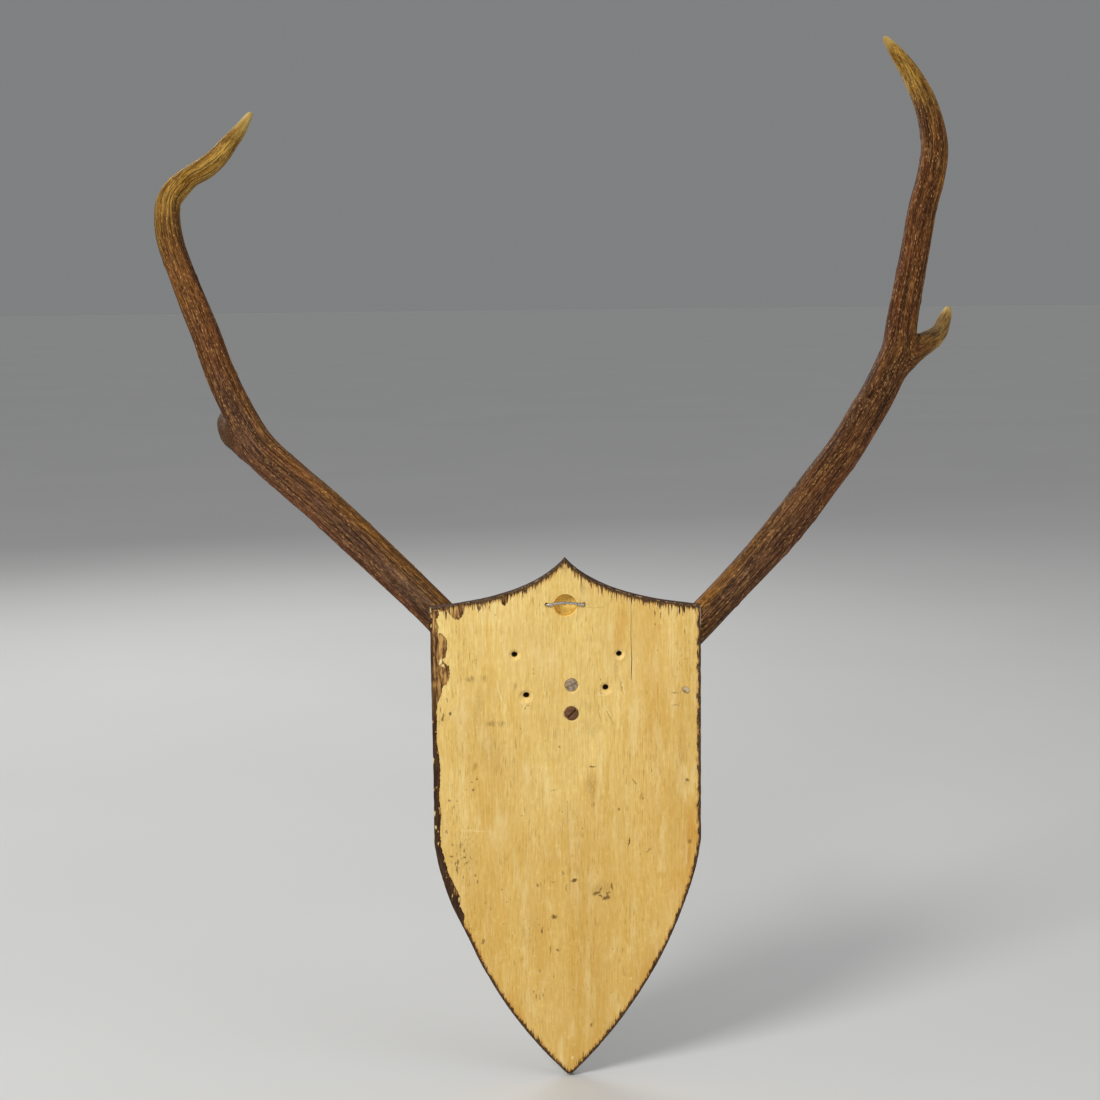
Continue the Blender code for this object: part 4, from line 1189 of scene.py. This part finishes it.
def make_steel(name, bright, dull, rust_cover, rust_colour, smooth, rough):
    """Old steel: scratched, tarnished, and rusty over a given share of it."""
    material, place = new_material(name)
    tarnish = cloud(place, 420.0, 5.0, 0.6)
    scratches = use("scratches", place, Density=1500.0)["Mask"]
    rust = use("blotches", place, Size=520.0, Cover=rust_cover, Softness=0.06)["Mask"]
    crust = cloud(place, 1500.0, 3.0)
    colour = paint_over(
        mix(between(tarnish, 0.35, 0.65), bright, dull),
        (scratches * 0.5, bright),
        (rust * 0.9, mix(crust, rust_colour, DARK_RUST)),
    )
    roughness = between(tarnish, 0.3, 0.7, smooth, rough) + rust * 0.35
    metallic = between(rust, 0.1, 0.9, 1.0, 0.15)
    return finish_material(material, colour, roughness, rust * crust - scratches, 0.00008, metallic=metallic)


def make_floor_material():
    material, place = new_material("studio_floor")
    return finish_material(material, mix(cloud(place, 1.5, 2.0), *FLOOR_COLOURS), 0.85, specular=0.2)


# Board

def bezier(controls, steps):
    """Points along a cubic curve in the plane, both ends included."""
    t = np.linspace(0, 1, steps + 1)
    weights = np.array([(1 - t) ** 3, 3 * t * (1 - t) ** 2, 3 * t * t * (1 - t), t ** 3])
    return weights.T @ np.array(controls)


def inward_of(ahead):
    """Unit directions into the board, for directions that run down its outline on +X."""
    ahead = ahead / np.linalg.norm(ahead, axis=1)[:, None]
    return np.column_stack([ahead[:, 1], -ahead[:, 0]])


def move_in(points, distance):
    """A half outline moved into the board, square to itself. It runs from the apex to the tip on +X."""
    return points + inward_of(np.gradient(points, axis=0)) * distance


def half_outline(distance):
    """The +X half of the outline at a distance inside it, from apex to tip, its corners kept sharp."""
    top = move_in(bezier(BOARD_TOP_CURVE, CURVE_STEPS), distance)
    straight = np.column_stack([
        np.full(CURVE_STEPS, BOARD_HALF_WIDTH),
        np.linspace(BOARD_CORNER, BOARD_SHOULDER, CURVE_STEPS, endpoint=False),
    ])
    side = move_in(np.vstack([straight, bezier(BOARD_LOWER_CURVE, CURVE_STEPS)]), distance)
    edge = BOARD_HALF_WIDTH - distance
    across = np.linspace(0, edge, TOP_POINTS)
    top_part = np.column_stack([across, np.interp(across, top[:, 0], top[:, 1])])
    tip = np.interp(0, side[::-1, 0], side[::-1, 1])
    heights = np.linspace(top_part[-1, 1], tip, SIDE_POINTS)[1:]
    side_part = np.column_stack([np.interp(-heights, -side[:, 1], side[:, 0]), heights])
    return np.vstack([top_part, side_part])


def whole_outline(distance):
    """Outline from the apex down to the tip on +X, and back up on the other side."""
    half = half_outline(distance)
    half[-1, 0] = 0
    other = half[1:-1][::-1] * (-1, 1)
    return np.vstack([half, other])


def wear_down(outline, nick_share):
    """An outline with its worn stretches and nicks taken in, and its tip blunted."""
    inward = inward_of(np.roll(outline, -1, axis=0) - np.roll(outline, 1, axis=0))
    depth = np.zeros(len(outline))
    for side, height, amount, half_length in WORN_EDGES:
        near = np.exp(-((outline[:, 1] - height) / half_length) ** 2)
        depth += amount * near * (outline[:, 0] * side > 0)
    for i, (across, height) in enumerate(outline):
        uneven = noise.noise(Vector((across * WAVE_RATE, 0.0, height * WAVE_RATE)))
        tooth = noise.noise(Vector((across * NICK_RATE[0], 3.0, height * NICK_RATE[1])))
        depth[i] += WAVE_DEPTH * uneven + NICK_DEPTH * nick_share * max(0.0, tooth) ** 1.5
    worn = outline + inward * depth[:, None]
    worn[:, 1] = np.maximum(worn[:, 1], BOARD_TIP + TIP_CUT)
    return worn


def prism(name, outline, depth):
    """Cutter with a flat outline of x and z, sunk into the back."""
    return extrude_rings(name, [
        [(across, y, height) for across, height in outline] for y in (OVERRUN, -depth)
    ])


def roughen(outline, amount, seed):
    """An open line split into short steps, each moved at random: far along the grain, less across it."""
    rng = random.Random(seed)
    points = []
    for (across, height), (next_across, next_height) in zip(outline, outline[1:]):
        count = max(1, round(math.hypot(next_across - across, next_height - height) / TOOTH_STEP))
        flat = abs(next_across - across) > abs(next_height - height)
        for k in range(count):
            share = k / count
            move = rng.uniform(-amount, amount) if k else 0.0
            points.append((
                across + (next_across - across) * share + (0.0 if flat else move),
                height + (next_height - height) * share + (move * TOOTH_STRETCH if flat else 0.0),
            ))
    return points + [outline[-1]]


def crack_outline():
    left = [(across - width / 2, height) for across, height, width in CRACK]
    right = [(across + width / 2, height) for across, height, width in reversed(CRACK)]
    return left + right


def drill(name, across, height, profile, sides=40, unevenness=0.0, shift=(0.0, 0.0)):
    """Cutter turned about a line along Y. profile: y, radius, and share of the shift off centre."""
    rings = []
    for y, radius, share in profile:
        ring = []
        for k in range(sides):
            angle = math.tau * k / sides
            right, up = math.cos(angle), math.sin(angle)
            bulge = 1 + unevenness * noise.noise(Vector((right * 1.7, height * 900, up * 1.7)))
            ring.append((
                across + right * radius * bulge + shift[0] * share,
                y,
                height + up * radius * bulge + shift[1] * share,
            ))
        rings.append(ring)
    return extrude_rings(name, rings)


def recess_cutter():
    """The hanging recess as a flat bit leaves it: rings on its floor and a pit at its middle."""
    profile = [(OVERRUN, RECESS_RADIUS + 0.0004, 0), (0.0, RECESS_RADIUS + 0.0003, 0)]
    profile += [(-0.0006, RECESS_RADIUS, 0), (-RECESS_DEPTH, RECESS_RADIUS - 0.0001, 0)]
    for step in range(6):
        radius = RECESS_RADIUS - 0.0010 - step * 0.0012
        profile += [(-RECESS_DEPTH + 0.0003, radius, 0), (-RECESS_DEPTH, radius - 0.0006, 0)]
    profile += [(-RECESS_DEPTH - 0.0002, 0.0012, 0), (-RECESS_DEPTH - 0.0030, 0.0003, 0)]
    return drill("recess", 0.0, RECESS_HEIGHT, profile, sides=72, unevenness=0.012)


def screw_cutter(spec, sink_shift):
    across, height, head_radius, sunk, _ = spec
    profile = [
        (OVERRUN, head_radius + 0.0024, 1),
        (0.0, head_radius + 0.0011, 1),
        (-sunk - 0.0006, head_radius + 0.0004, 0.3),
        (-sunk - 0.0040, SCREW_SHANK + 0.0004, 0),
        (-SCREW_LENGTH, SCREW_SHANK + 0.0004, 0),
    ]
    return drill("screw_sink", across, height, profile, 48, unevenness=0.05, shift=sink_shift)


def spare_cutter(across, height, sink_radius, bore_radius, bore_shift):
    profile = [
        (OVERRUN, sink_radius + 0.0016, 0),
        (0.0, sink_radius, 0),
        (-0.0010, sink_radius * 0.80, 0.1),
        (-SINK_DEPTH * 0.6, sink_radius * 0.52, 0.6),
        (-SINK_DEPTH, bore_radius, 1),
        (-PILOT_DEPTH, bore_radius, 1),
        (-PILOT_DEPTH - 0.0008, PILOT_RADIUS, 1),
        (-BOARD_THICKNESS - OVERRUN, PILOT_RADIUS, 1),
    ]
    return drill("spare_hole", across, height, profile, unevenness=0.14, shift=bore_shift)


def board_cutters():
    cutters = [recess_cutter()]
    for side in (-1, 1):
        cutters.append(drill("wire_hole", side * WIRE_HALF_SPAN, WIRE_HEIGHT, [
            (OVERRUN, WIRE_HOLE_RADIUS + 0.0008, 0),
            (-0.0008, WIRE_HOLE_RADIUS, 0),
            (-WIRE_LEG - OVERRUN, WIRE_HOLE_RADIUS, 0),
        ], 20, unevenness=0.1))
    cutters.append(screw_cutter(UPPER_SCREW, UPPER_SINK_SHIFT))
    cutters.append(screw_cutter(LOWER_SCREW, LOWER_SINK_SHIFT))
    cutters += [spare_cutter(*spec) for spec in SPARE_HOLES]
    cutters.append(drill("second_bore", *SECOND_BORE, 16, unevenness=0.1))
    torn_edge = roughen(TORN_EDGE, amount=0.00042, seed=3) + TORN_OUTSIDE
    cutters.append(prism("torn_edge", torn_edge, TORN_DEPTH))
    cutters.append(prism("torn_top", roughen(TORN_TOP, amount=0.00036, seed=5), TORN_DEPTH * 0.8))
    cutters.append(prism("torn_chip", roughen(TORN_CHIP, amount=0.00025, seed=7), TORN_DEPTH * 1.4))
    cutters.append(prism("crack", crack_outline(), CRACK_DEPTH))
    return cutters


def grid_planes():
    """Planes that cut the large flat faces into small ones, so that they can carry values."""
    planes = []
    for length, first, direction in (
        (2 * BOARD_HALF_WIDTH, -BOARD_HALF_WIDTH, Vector((1, 0, 0))),
        (BOARD_APEX - BOARD_TIP, BOARD_TIP, Vector((0, 0, 1))),
    ):
        for k in range(1, int(length / GRID_STEP) + 1):
            planes.append((direction * (first + GRID_STEP * k), direction))
    return planes


def distance_to_outline(points, outline):
    """How far each point of x and z lies from a closed outline."""
    spans = np.roll(outline, -1, axis=0) - outline
    lengths = (spans ** 2).sum(1) + 1e-12
    best = np.full(len(points), 1.0)
    for start, span, length in zip(outline, spans, lengths):
        arm = points - start
        share = np.clip((arm @ span) / length, 0, 1)
        best = np.minimum(best, np.linalg.norm(arm - share[:, None] * span, axis=1))
    return best


def grain_run(points):
    """How far each point lies from the outline, measured along the grain, up or down."""
    half = half_outline(0.0)
    top = half[:TOP_POINTS]
    side = half[TOP_POINTS - 1:][::-1]
    across = np.abs(points[:, 0])
    up = np.interp(across, top[:, 0], top[:, 1]) - points[:, 2]
    down = points[:, 2] - np.interp(across, side[:, 0], side[:, 1])
    return np.minimum(up, down)


def board_slot(x, y, z, faces_back, rim):
    """Slots: 0 bare back, 1 torn veneer, 2 drilled holes, 3 recess, 4 stained edges and front."""
    in_recess = math.hypot(x, z - RECESS_HEIGHT) < RECESS_RADIUS + 0.0012
    if in_recess and -BOARD_THICKNESS / 2 < y < -0.0001:
        return 3
    if y > -0.0002 and faces_back:
        return 0
    if (rim < EDGE_WIDTH and y < -TORN_DEPTH * 1.5) or y < -BOARD_THICKNESS + 0.0008:
        return 4
    if y > -0.0012 and rim < 0.0200 and x > 0.03:
        return 1
    return 4 if rim < EDGE_WIDTH else 2


def assign_board_materials(board, rims):
    polygons = board.data.polygons
    slots = []
    for polygon, centre in zip(polygons, read_vectors(polygons, "center")):
        rim = min(rims[k] for k in polygon.vertices)
        slots.append(board_slot(*centre, polygon.normal.y > 0.7, rim))
    polygons.foreach_set("material_index", slots)


def make_board():
    """The board: blank from its rings, then everything that is cut into its back."""
    rings = []
    for depth, distance, nick_share in BOARD_RINGS:
        outline = wear_down(whole_outline(distance), nick_share)
        rings.append([(across, -depth, height) for across, height in outline])
    board = extrude_rings("wall_board", rings)
    bisect(board, grid_planes())
    cut(board, join("board_cutters", board_cutters()))
    points = read_points(board.data)
    rims = distance_to_outline(points[:, [0, 2]], wear_down(whole_outline(0.0), 0.0))
    arris = np.exp(-((points[:, 1] + 0.0006) / 0.0012) ** 2) * (rims < 0.002)
    front = np.exp(-((points[:, 1] + 0.0106) / 0.0010) ** 2) * 0.8
    store(board.data, rim=rims, grain_run=grain_run(points), wear=np.clip(arris + front, 0, 1))
    dress(
        board,
        make_bare_back(),
        make_torn_veneer(),
        make_drilled_wood("fresh_hole", *FRESH_HOLE),
        make_drilled_wood("drilled_recess", *DRILLED_RECESS),
        make_stained_edge(),
        smooth_below=32,
    )
    assign_board_materials(board, rims)
    return board


# Screws and wire

def make_screw(name, spec, material):
    """Countersunk screw with a slightly domed, slotted head."""
    across, height, head_radius, sunk, slot_turn = spec
    profile = [
        (-sunk + 0.00022, head_radius * 0.25),
        (-sunk + 0.00018, head_radius * 0.55),
        (-sunk + 0.00008, head_radius * 0.84),
        (-sunk - 0.00006, head_radius * 0.96),
        (-sunk - 0.00022, head_radius),
        (-sunk - 0.00045, head_radius),
        (-sunk - 0.0036, SCREW_SHANK * 1.05),
        (-SCREW_LENGTH + 0.008, SCREW_SHANK),
        (-SCREW_LENGTH + 0.003, SCREW_SHANK * 0.7),
        (-SCREW_LENGTH, SCREW_SHANK * 0.15),
    ]
    profile = [(y, radius, 0) for y, radius in profile]
    screw = drill(name, across, height, profile, 56, unevenness=0.01)
    bpy.ops.mesh.primitive_cube_add(size=1.0)
    slot = bpy.context.object
    apply_modifier(slot, "BEVEL", width=SLOT_BEVEL, segments=2, limit_method="NONE")
    size = Matrix.Diagonal((2 * (head_radius + OVERRUN), SLOT_DEPTH, SLOT_WIDTH, 1))
    turn = Matrix.Rotation(math.radians(slot_turn), 4, "Y")
    slot.data.transform(Matrix.Translation((across, -sunk + 0.0001, height)) @ turn @ size)
    cut(screw, slot)
    dress(screw, material, smooth_below=35)
    return screw


def wire_route():
    """Centre line of the hanging wire: a leg, a bend, the arched bar, and back."""
    corner = [(-WIRE_HALF_SPAN, -WIRE_LEG, WIRE_HEIGHT)]
    for k in range(WIRE_BEND_STEPS + 1):
        angle = math.pi / 2 * k / WIRE_BEND_STEPS
        corner.append((
            -WIRE_HALF_SPAN + WIRE_BEND * (1 - math.cos(angle)),
            WIRE_STANDOFF - WIRE_BEND * (1 - math.sin(angle)),
            WIRE_HEIGHT,
        ))
    half_bar = WIRE_HALF_SPAN - WIRE_BEND
    bar = []
    for k in range(1, WIRE_BAR_STEPS):
        share = k / WIRE_BAR_STEPS
        rise = WIRE_ARCH * math.sin(math.pi * share)
        rise += WIRE_WAVE * noise.noise(Vector((share * 7, 0, 0)))
        bar.append((half_bar * (2 * share - 1), WIRE_STANDOFF, WIRE_HEIGHT + rise))
    return corner + bar + [(-x, y, z) for x, y, z in reversed(corner)]


def make_wire(material):
    samples = [Vector((*place, WIRE_RADIUS * 2)) for place in wire_route()]
    frames = path_frames(samples, Vector((0, 0, 1)))
    rings = [ring_about(path_frame, WIRE_RADIUS, 20) for path_frame in frames]
    wire = extrude_rings("hanger_wire", rings)
    dress(wire, material, smooth_below=40)
    return wire


# Antlers

def measure_route(controls, run_start, gold_length, smoothness=0.0):
    """A centre line as tables, for finding where on it a point of the skin lies."""
    samples = smooth_path(controls, ROUTE_STEP)
    centres, tangents, sides, others = (np.array(column) for column in zip(*path_frames(samples)))
    steps = np.linalg.norm(np.diff(centres, axis=0), axis=1)
    return {
        "centre": centres,
        "tangent": tangents,
        "side": sides,
        "other": others,
        "radius": np.array([max(sample.w, THINNEST) / 2 for sample in samples]),
        "run": np.concatenate([[0], np.cumsum(steps)]),
        "run_start": run_start,
        "gold_length": gold_length,
        "smoothness": smoothness,
    }


def nearest_sample(points, route, first):
    tree = kdtree.KDTree(len(route["centre"]))
    for i, centre in enumerate(route["centre"]):
        if i >= first:
            tree.insert(centre, i)
    tree.balance()
    return np.array([tree.find(point)[1] for point in points.tolist()])


def place_on_route(points, route, first):
    """For each point: its bark coordinates, distance as a share of the radius, and run left to the end."""
    near = nearest_sample(points, route, first)
    arm = points - route["centre"][near]
    along, across, other = ((arm * route[way][near]).sum(1) for way in ("tangent", "side", "other"))
    run = route["run"][near] + along
    share = np.linalg.norm(arm, axis=1) / route["radius"][near]
    left = route["run"][-1] - run
    return np.column_stack([across, other, run + route["run_start"]]), share, left


def place_on_antler(points, routes):
    """Bark coordinates, and golden, ivory and smooth share of each point, mixed where routes meet."""
    bark = np.zeros((len(points), 3))
    gold, ivory, smooth, total = np.zeros((4, len(points)))
    for number, route in enumerate(routes):
        first = 0 if number == 0 else int(np.searchsorted(route["run"], FORK_START))
        coordinates, share, left = place_on_route(points, route, first)
        weight = np.exp(-ROUTE_FALL * share) + 1e-12
        bark += coordinates * weight[:, None]
        gold += weight * (1 - smooth_step(left, GOLD_FULL, route["gold_length"]))
        ivory += weight * (1 - smooth_step(left, 0.000, route["gold_length"] * IVORY_SHARE))
        smooth += weight * route["smoothness"]
        total += weight
    return bark / total[:, None], gold / total, ivory / total, smooth / total


def place_tints(points, normals, beam_route, tints):
    """Amber, red and grey share at each point, from the heights and sides given for them."""
    near = nearest_sample(points, beam_route, 0)
    tangents = beam_route["tangent"][near]
    inward = np.column_stack([-tangents[:, 2], np.zeros(len(near)), tangents[:, 0]])
    inward *= -np.sign(inward[:, :1] * points[:, :1] + 1e-9)
    inner = (inward * normals).sum(1)
    layers = []
    for kind in ("amber", "red", "grey"):
        layer = np.zeros(len(points))
        for height, half_height, side, strength in tints[kind]:
            facing = normals[:, 1] if side == 0 else inner * side
            along = np.exp(-((points[:, 2] - height) / half_height) ** 2)
            layer = np.maximum(layer, strength * along * smooth_step(facing, 0.15, 0.85))
        layers.append(layer)
    return np.column_stack(layers)


def bark_relief(bark, worn):
    """Height of the ridges and of the pearls at each point, as shares."""
    ridges = np.empty(len(bark))
    pearls = np.empty(len(bark))
    places = (bark * BROAD_RIDGES, bark * NARROW_RIDGES + NARROW_SHIFT, bark * PEARL_SPREAD)
    for i, (broad, narrow, spread) in enumerate(zip(*(rows.tolist() for rows in places))):
        ridges[i] = 0.65 * noise.noise(Vector(broad)) + 0.95 * noise.noise(Vector(narrow))
        distances, centres = noise.voronoi(Vector(spread))
        chosen = noise.cell(centres[0] * 3.7) > PEARL_CHOICE
        pearls[i] = max(0.0, 1 - distances[0] / PEARL_WIDTH) if chosen else 0.0
    return ridges * (1 - worn), pearls ** 0.8 * (1 - worn)


def antler_tube(name, controls, burr=False, pointed=True):
    samples = smooth_path(controls, TUBE_STEP)
    frames = path_frames(samples)
    rings = []
    if burr:
        centre, tangent, side, other = frames[0]
        for run, radius in BURR_PROFILE:
            rings.append(ring_about((centre + tangent * run, tangent, side, other), radius, TUBE_SIDES))
    for sample, path_frame in zip(samples, frames):
        if not burr or (sample.xyz - samples[0].xyz).length > BURR_END:
            rings.append(ring_about(path_frame, sample.w / 2, TUBE_SIDES))
    if pointed:
        rings.pop()
        centre, tangent, side, other = frames[-1]
        end_radius = samples[-1].w / 2
        for ahead, share in POINT_ROUNDING:
            place = centre + tangent * (ahead - 1) * end_radius
            rings.append(ring_about((place, tangent, side, other), end_radius * share, TUBE_SIDES))
    return extrude_rings(name, rings)


def burr_pearls(controls, seed):
    """The beads of the coronet, all round the burr in two uneven rows."""
    rng = random.Random(seed)
    centre, tangent, side, other = path_frames(smooth_path(controls, TUBE_STEP))[0]
    beads = []
    for row_run, row_reach, count, low, high in BURR_BEADS:
        for k in range(count):
            angle = math.tau * (k + rng.uniform(-0.25, 0.25)) / count
            outward = side * math.cos(angle) + other * math.sin(angle)
            reach = row_reach + rng.uniform(-0.0008, 0.0006)
            place = centre + tangent * (row_run + rng.uniform(-0.0012, 0.0012)) + outward * reach
            radius = rng.uniform(low, high)
            bpy.ops.mesh.primitive_ico_sphere_add(subdivisions=2, radius=radius, location=place)
            beads.append(bpy.context.object)
    return beads


def soften_forks(antler, forks):
    """Smooth the skin only where a tine leaves the beam, so that it grows out of it."""
    group = antler.vertex_groups.new(name="forks")
    points = read_points(antler.data)
    near = np.zeros(len(points))
    for place in forks:
        reach = np.linalg.norm(points - np.array(place), axis=1)
        near = np.maximum(near, 1 - smooth_step(reach, FORK_REACH * 0.8, FORK_REACH * 1.5))
    for weight in (0.25, 0.5, 0.75, 1.0):
        chosen = np.nonzero(np.abs(near - weight) < 0.125)[0]
        group.add(chosen.tolist(), weight, "REPLACE")
    apply_modifier(antler, "SMOOTH", factor=0.5, iterations=16, vertex_group="forks")
    antler.vertex_groups.clear()


def antler_skin(name, beam, tines, webs, seed):
    """Tubes along an antler's centre lines, and one skin over them."""
    parts = [antler_tube(name, beam, burr=True)] + burr_pearls(beam, seed)
    parts += [antler_tube(name + "_tine", path) for path in tines]
    parts += [antler_tube(name + "_web", path, pointed=False) for path in webs]
    antler = join(name, parts)
    grow_skin(antler, SKIN_VOXEL, 3)
    soften_forks(antler, [smooth_path(tine, FORK_START)[1].xyz for tine in tines])
    return antler


def antler_routes(beam, tines, gold_lengths, smoothness):
    """The beam's route, and each tine's from where it leaves the beam."""
    beam_route = measure_route(beam, 0.0, gold_lengths[0])
    routes = [beam_route]
    for tine, gold_length, smooth_share in zip(tines, gold_lengths[1:], smoothness):
        apart = np.linalg.norm(beam_route["centre"] - np.array(tine[0][:3]), axis=1)
        start = beam_route["run"][apart.argmin()]
        routes.append(measure_route(tine, start, gold_length, smooth_share))
    return routes


def make_antler(name, material, beam, tines, webs, gold_lengths, smoothness, tints, seed):
    """One antler: its skin, then ridges and pearls, and what its material reads from it."""
    antler = antler_skin(name, beam, tines, webs, seed)
    routes = antler_routes(beam, tines, gold_lengths, smoothness)
    points = read_points(antler.data)
    bark, gold, ivory, smooth = place_on_antler(points, routes)
    worn = np.clip(smooth_step(gold, 0.45, 1.0) * 0.85 + ivory + smooth, 0, 1)
    ridges, pearls = bark_relief(bark, worn)
    normals = raise_skin(antler.data, points, ridges * RIDGE_HEIGHT + pearls * PEARL_HEIGHT)
    store(antler.data, bark=bark, tints=place_tints(points, normals, routes[0], tints), gold=gold,
          ivory=ivory, rough=1 - np.clip(ivory + smooth, 0, 1), ridge=ridges, pearl=pearls)
    dress(antler, material, smooth_below=180)
    return antler


# Skull

def plate_reach(angle):
    """Distance from the plate's centre to its rim, at an angle that is 90 degrees at the top."""
    up = math.sin(angle)
    across = math.cos(angle)
    tall = PLATE_TOP - PLATE_CENTRE
    wide = PLATE_HALF_WIDTH
    if up < 0:
        tall = PLATE_CENTRE - PLATE_NOSE
        wide += (PLATE_NOSE_HALF_WIDTH - PLATE_HALF_WIDTH) * up * up
    squared = abs(across / wide) ** PLATE_SQUARENESS + abs(up / tall) ** PLATE_SQUARENESS
    return squared ** (-1 / PLATE_SQUARENESS)


def plate_height(share, angle):
    """Thickness of the plate at a share of the way to its rim: its dome, and the ridges of its brows."""
    dome = max(0.0, 1 - share ** 2.2) ** 0.6
    brow = BROW_HEIGHT * math.exp(-((share - BROW_AT) / BROW_WIDTH) ** 2) * abs(math.cos(angle)) ** 3
    return PLATE_RIM + (PLATE_CREST - PLATE_RIM) * dome + brow * (1 - share)


def plate_ring(angles, share, depths):
    return [(
        math.cos(angle) * plate_reach(angle) * share,
        depth,
        PLATE_CENTRE + math.sin(angle) * plate_reach(angle) * share,
    ) for angle, depth in zip(angles, depths)]


def skull_plate():
    """Domed plate of bone that runs on into the board, to be sawn off flat there."""
    back = -BOARD_THICKNESS - BOARD_GAP
    angles = [math.tau * k / PLATE_SIDES for k in range(PLATE_SIDES)]
    rings = []
    for share in PLATE_RINGS:
        rings.append(plate_ring(angles, share, [back - plate_height(share, angle) for angle in angles]))
    for depth in (back - PLATE_RIM / 2, back + PLATE_RIM):
        rings.append(plate_ring(angles, PLATE_SIDE_REACH, [depth] * PLATE_SIDES))
    return extrude_rings("skull_plate", rings)


def pedicle(beam):
    """Bone stem from inside the plate to just under an antler's burr."""
    base, tangent, _, _ = path_frames(smooth_path(beam, TUBE_STEP))[0]
    outward = math.copysign(1, base.x)
    root = Vector((outward * PEDICLE_ROOT.x, PEDICLE_ROOT.y, base.z + PEDICLE_ROOT.z))
    neck = base - tangent * PEDICLE_NECK[0][0]
    controls = [(*root.lerp(neck, share), thickness) for share, thickness in PEDICLE_PROFILE]
    controls += [(*(base - tangent * run), thickness) for run, thickness in PEDICLE_NECK]
    samples = smooth_path(controls, TUBE_STEP)
    return extrude_rings("pedicle", [
        ring_about(path_frame, sample.w / 2, TUBE_SIDES)
        for sample, path_frame in zip(samples, path_frames(samples))
    ])


def seam_depths(points):
    """Depth of the skull's seams at each point: one down the middle and one across, both winding."""
    depths = np.empty(len(points))
    for i, (x, _, z) in enumerate(points.tolist()):
        middle = 0.0016 * noise.noise(Vector((0, 0, z * 220)))
        middle += 0.0007 * noise.noise(Vector((0, 4, z * 700)))
        level = SEAM_LEVEL - SEAM_DROP * abs(x) + 0.0022 * noise.noise(Vector((x * 240, 0, 9)))
        down = math.exp(-((x - middle) / SEAM_WIDTH) ** 2)
        over = math.exp(-((z - level) / SEAM_WIDTH) ** 2) * (abs(x) < SEAM_HALF_LENGTH)
        depths[i] = max(down, over)
    return depths


def make_skull(material):
    """Skull plate and pedicles under one skin, its seams pressed in and its back sawn flat."""
    skull = join("skull_bone_plate", [skull_plate(), pedicle(LEFT_BEAM), pedicle(RIGHT_BEAM)])
    grow_skin(skull, SKULL_VOXEL, 10)
    points = read_points(skull.data)
    stem = smooth_step(-points[:, 1], STEM_START, STEM_FULL)
    seams = seam_depths(points) * (1 - stem) * (points[:, 1] < SEAM_LAST_DEPTH)
    lumps = np.array([
        sum(height * noise.noise(place * rate) for height, rate in BONE_LUMPS)
        for place in map(Vector, points.tolist())
    ])
    raise_skin(skull.data, points, lumps - seams * SEAM_DEPTH)
    store(skull.data, seam=seams, stem=stem)
    sawn = (Vector((0, -BOARD_THICKNESS - BOARD_GAP, 0)), Vector((0, 1, 0)))
    bisect(skull, [sawn], use_fill=True, clear_outer=True)
    dress(skull, material, smooth_below=50)
    return skull


# Studio

def make_floor():
    bpy.ops.object.select_all(action="DESELECT")
    bpy.ops.mesh.primitive_circle_add(vertices=96, radius=FLOOR_RADIUS, fill_type="NGON",
                                      location=(0, 0, BOARD_TIP))
    floor = bpy.context.object
    floor.name = "floor"
    floor.data.materials.append(make_floor_material())


def add_to_scene(name, data):
    made = bpy.data.objects.new(name, data)
    bpy.context.collection.objects.link(made)
    return made


def add_lamp(name, place, size, power, colour):
    light = bpy.data.lights.new(name, "AREA")
    light.shape = "DISK"
    light.size = size
    light.energy = power
    light.color = colour
    lamp = add_to_scene(name, light)
    lamp.location = place
    lamp.rotation_mode = "QUATERNION"
    lamp.rotation_quaternion = (Vector(place) - LIT_PLACE).to_track_quat("Z", "Y")


def light_studio():
    """Soft light from the camera's side, and a backdrop as grey as the floor is far off."""
    world = bpy.data.worlds.new("studio")
    world.use_nodes = True
    seen = add_node(world.node_tree, "ShaderNodeLightPath")["Is Camera Ray"]
    feed(world.node_tree.nodes["Background"].inputs["Color"], mix(seen, WORLD_LIGHT, WORLD_SEEN))
    bpy.context.scene.world = world
    for lamp in LAMPS:
        add_lamp(*lamp)


def place_camera():
    """The photograph's view: from behind the board, a little above its middle."""
    camera = bpy.data.cameras.new("camera")
    camera.lens = CAMERA_LENS
    camera.sensor_width = CAMERA_SENSOR
    holder = add_to_scene("camera", camera)
    turn = Matrix((CAMERA_RIGHT, CAMERA_UP, CAMERA_BACK)).transposed().to_4x4()
    holder.matrix_world = Matrix.Translation(CAMERA_PLACE) @ turn
    bpy.context.scene.camera = holder


def make_pieces():
    """Every piece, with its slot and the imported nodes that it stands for."""
    board = make_board()
    antler_look = make_antler_material()
    bright, rusty, wire_steel = (make_steel(name, *look) for name, look in STEELS.items())
    return [
        (board, "pale_wood", ["shield"]),
        (make_antler("left_antler", antler_look, **LEFT_ANTLER), "dark_antler",
         ["left_antler_beam", "left_brow_tine", "left_trez_tine"]),
        (make_antler("right_antler", antler_look, **RIGHT_ANTLER), "dark_antler",
         ["right_antler_beam", "right_brow_tine", "right_trez_tine"]),
        (make_skull(make_bone_material()), "old_bone", ["skull_cap"]),
        (make_screw("bright_screw_head", UPPER_SCREW, bright), "bright_screw", ["upper_screw"]),
        (make_screw("rusty_screw_head", LOWER_SCREW, rusty), "rusty_screw", ["lower_screw"]),
        (make_wire(wire_steel), "wire", ["hanging_wire"]),
    ]


def main():
    bpy.context.scene.view_settings.view_transform = "Standard"
    make_groups()
    for piece, slot, nodes in make_pieces():
        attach(piece, "root")
        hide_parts(*nodes)
    make_floor()
    light_studio()
    place_camera()


main()
